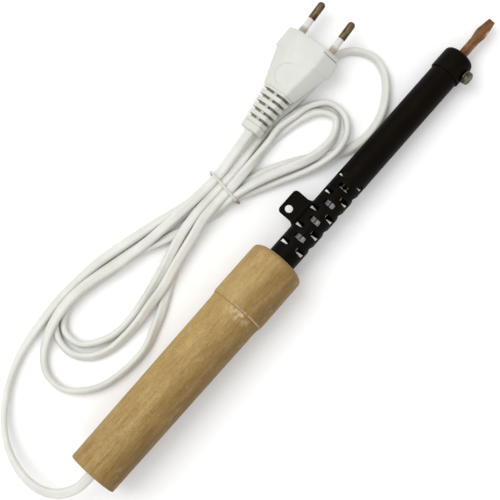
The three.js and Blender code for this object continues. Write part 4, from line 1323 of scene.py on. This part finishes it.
def flat_twin_section():
    """Half-round sides with nearly flat faces, a little hollow in their middle."""
    points = []
    radius = CORD_THICKNESS / 2
    reach = CORD_WIDTH / 2 - radius
    for side, start in ((1, -90), (-1, 90)):
        for i in range(9):
            angle = math.radians(start + 180 * i / 8)
            points.append((side * reach + radius * math.cos(angle), radius * math.sin(angle)))
        points.append((0, side * (radius - HOLLOW)))
    return points


def resting_height(twist):
    """How high the cord's centre is where it lies on the bench."""
    radius = CORD_THICKNESS / 2
    return radius + (CORD_WIDTH / 2 - radius) * abs(math.sin(math.radians(twist))) + BENCH_GAP


def make_cord():
    """The cord, the points along its middle in metres, and its length."""
    path = spline(CORD_ROUTE, CORD_STEP)
    twists = [point[3] for point in path]
    centres = [(x, y, max(z, resting_height(twist))) for x, y, z, twist in path]
    part = swept(flat_twin_section(), centres, twists)
    nodes = ["handle_lead", "plug_lead", "cord_hank"]
    obj = make_piece("mains_cord", part, MM, CORD_PLASTIC, nodes, 60)
    length = sum(math.dist(a, b) for a, b in zip(centres, centres[1:])) / 1000
    return obj, [tuple(c / 1000 for c in centre) for centre in centres], length


TIE_RADIUS = 0.5
TIE_SLANT = 0.14
TIE_CLEARANCE = 1.3  # how much wider and higher its band is than the hank's waist
TAIL_POINTS = 40
TAIL_RADIUS = 0.38
TAIL_TWIST = 0.45  # how far each end lies from the middle of their twist


def make_tie():
    """A flat band round the hank, and its two ends twisted together."""
    low, high = WAIST_SPAN
    bottom, top = WAIST_RISE
    middle_y, middle_z = (high + low) / 2, (bottom + top) / 2
    outline = rounded_outline(high - low + TIE_CLEARANCE, top - bottom + TIE_CLEARANCE, 2.0, 6)
    loop = [(TIE_X + 0.9 + TIE_SLANT * y, middle_y + y, middle_z + z) for y, z in outline]
    band = swept([(a * 1.2, b) for a, b in circle(TIE_RADIUS, 12)], loop, closed=True)
    ring = make_piece("twist_tie", band, MM, TIE_PLASTIC, ["cord_tie"], 50)
    tails = []
    for phase in (0, math.pi):
        path = []
        for i in range(TAIL_POINTS):
            along = i / (TAIL_POINTS - 1)
            angle = phase + along * 2.5 * math.pi
            x = TIE_X - 0.4 + 0.3 * along + TAIL_TWIST * math.cos(angle)
            z = top - 0.9 - 1.6 * along * along + TAIL_TWIST * math.sin(angle)
            path.append((x, low - 0.4 - 2 * along, z))
        tails.append(swept(circle(TAIL_RADIUS, 10), path))
    tail = make_piece("twist_tie_tail", joined(*tails), MM, TIE_TAIL, (), 50)
    return [ring, tail]


make_handle()
make_casing()
make_end_cap()
make_bit()
make_screw()
make_washer()
make_lead_sleeves()
plug_pieces = [make_plug_body(), make_strain_relief(), *make_pins()]
tie_pieces = make_tie()
cord, cord_path, cord_length = make_cord()

# ---------------------------------------------------------------- studio

FLOOR_DROP = 0.00005  # metres under the object, so that the two don't lie in one plane
FLOOR_SIDES = 48


def make_floor():
    """A plain pale floor whose edge curls up far behind."""
    rings = []
    for reach, rise in ((0.001, 0), (0.5, 0), (1.5, 0), (3, 0), (3.6, 0.15), (4, 0.6)):
        rings.append([(x, y, rise - FLOOR_DROP) for x, y in circle(reach, FLOOR_SIDES)])
    vertices, faces = lofted(rings, False)
    faces.append(tuple(range(FLOOR_SIDES)))
    obj = make_object("floor", (vertices, faces), Matrix.Identity(4), 60)
    f = Finish("pale_floor", Matrix.Identity(4))
    cloud = f.noise(3, 3, 0.5)
    f.colour = f.mix(f.spread(cloud, 0.3, 0.7), (0.93, 0.93, 0.93, 1), (0.95, 0.95, 0.95, 1))
    obj.data.materials.append(f.surface(0.9, f.bump(cloud, 0.02, 0.1)))


def make_light(name, place, target, size, power):
    data = bpy.data.lights.new(name, "AREA")
    data.shape = "SQUARE"
    data.size = size
    data.energy = power
    light = bpy.data.objects.new(name, data)
    bpy.context.scene.collection.objects.link(light)
    light.location = place
    aim = Vector(target) - Vector(place)
    light.rotation_euler = aim.to_track_quat("-Z", "Y").to_euler()


def make_world():
    world = bpy.data.worlds.new("studio")
    bpy.context.scene.world = world
    world.use_nodes = True
    background = world.node_tree.nodes["Background"]
    background.inputs["Color"].default_value = (1, 1, 1, 1)
    background.inputs["Strength"].default_value = 0.82


bpy.context.scene.view_settings.view_transform = "Standard"
make_floor()
make_world()
make_light("key", (-0.25, 1.0, 1.85), (-0.02, 0.02, 0), 1.4, 20)
make_light("fill", (-0.9, -0.3, 1.5), (-0.02, 0.02, 0), 1.0, 3)
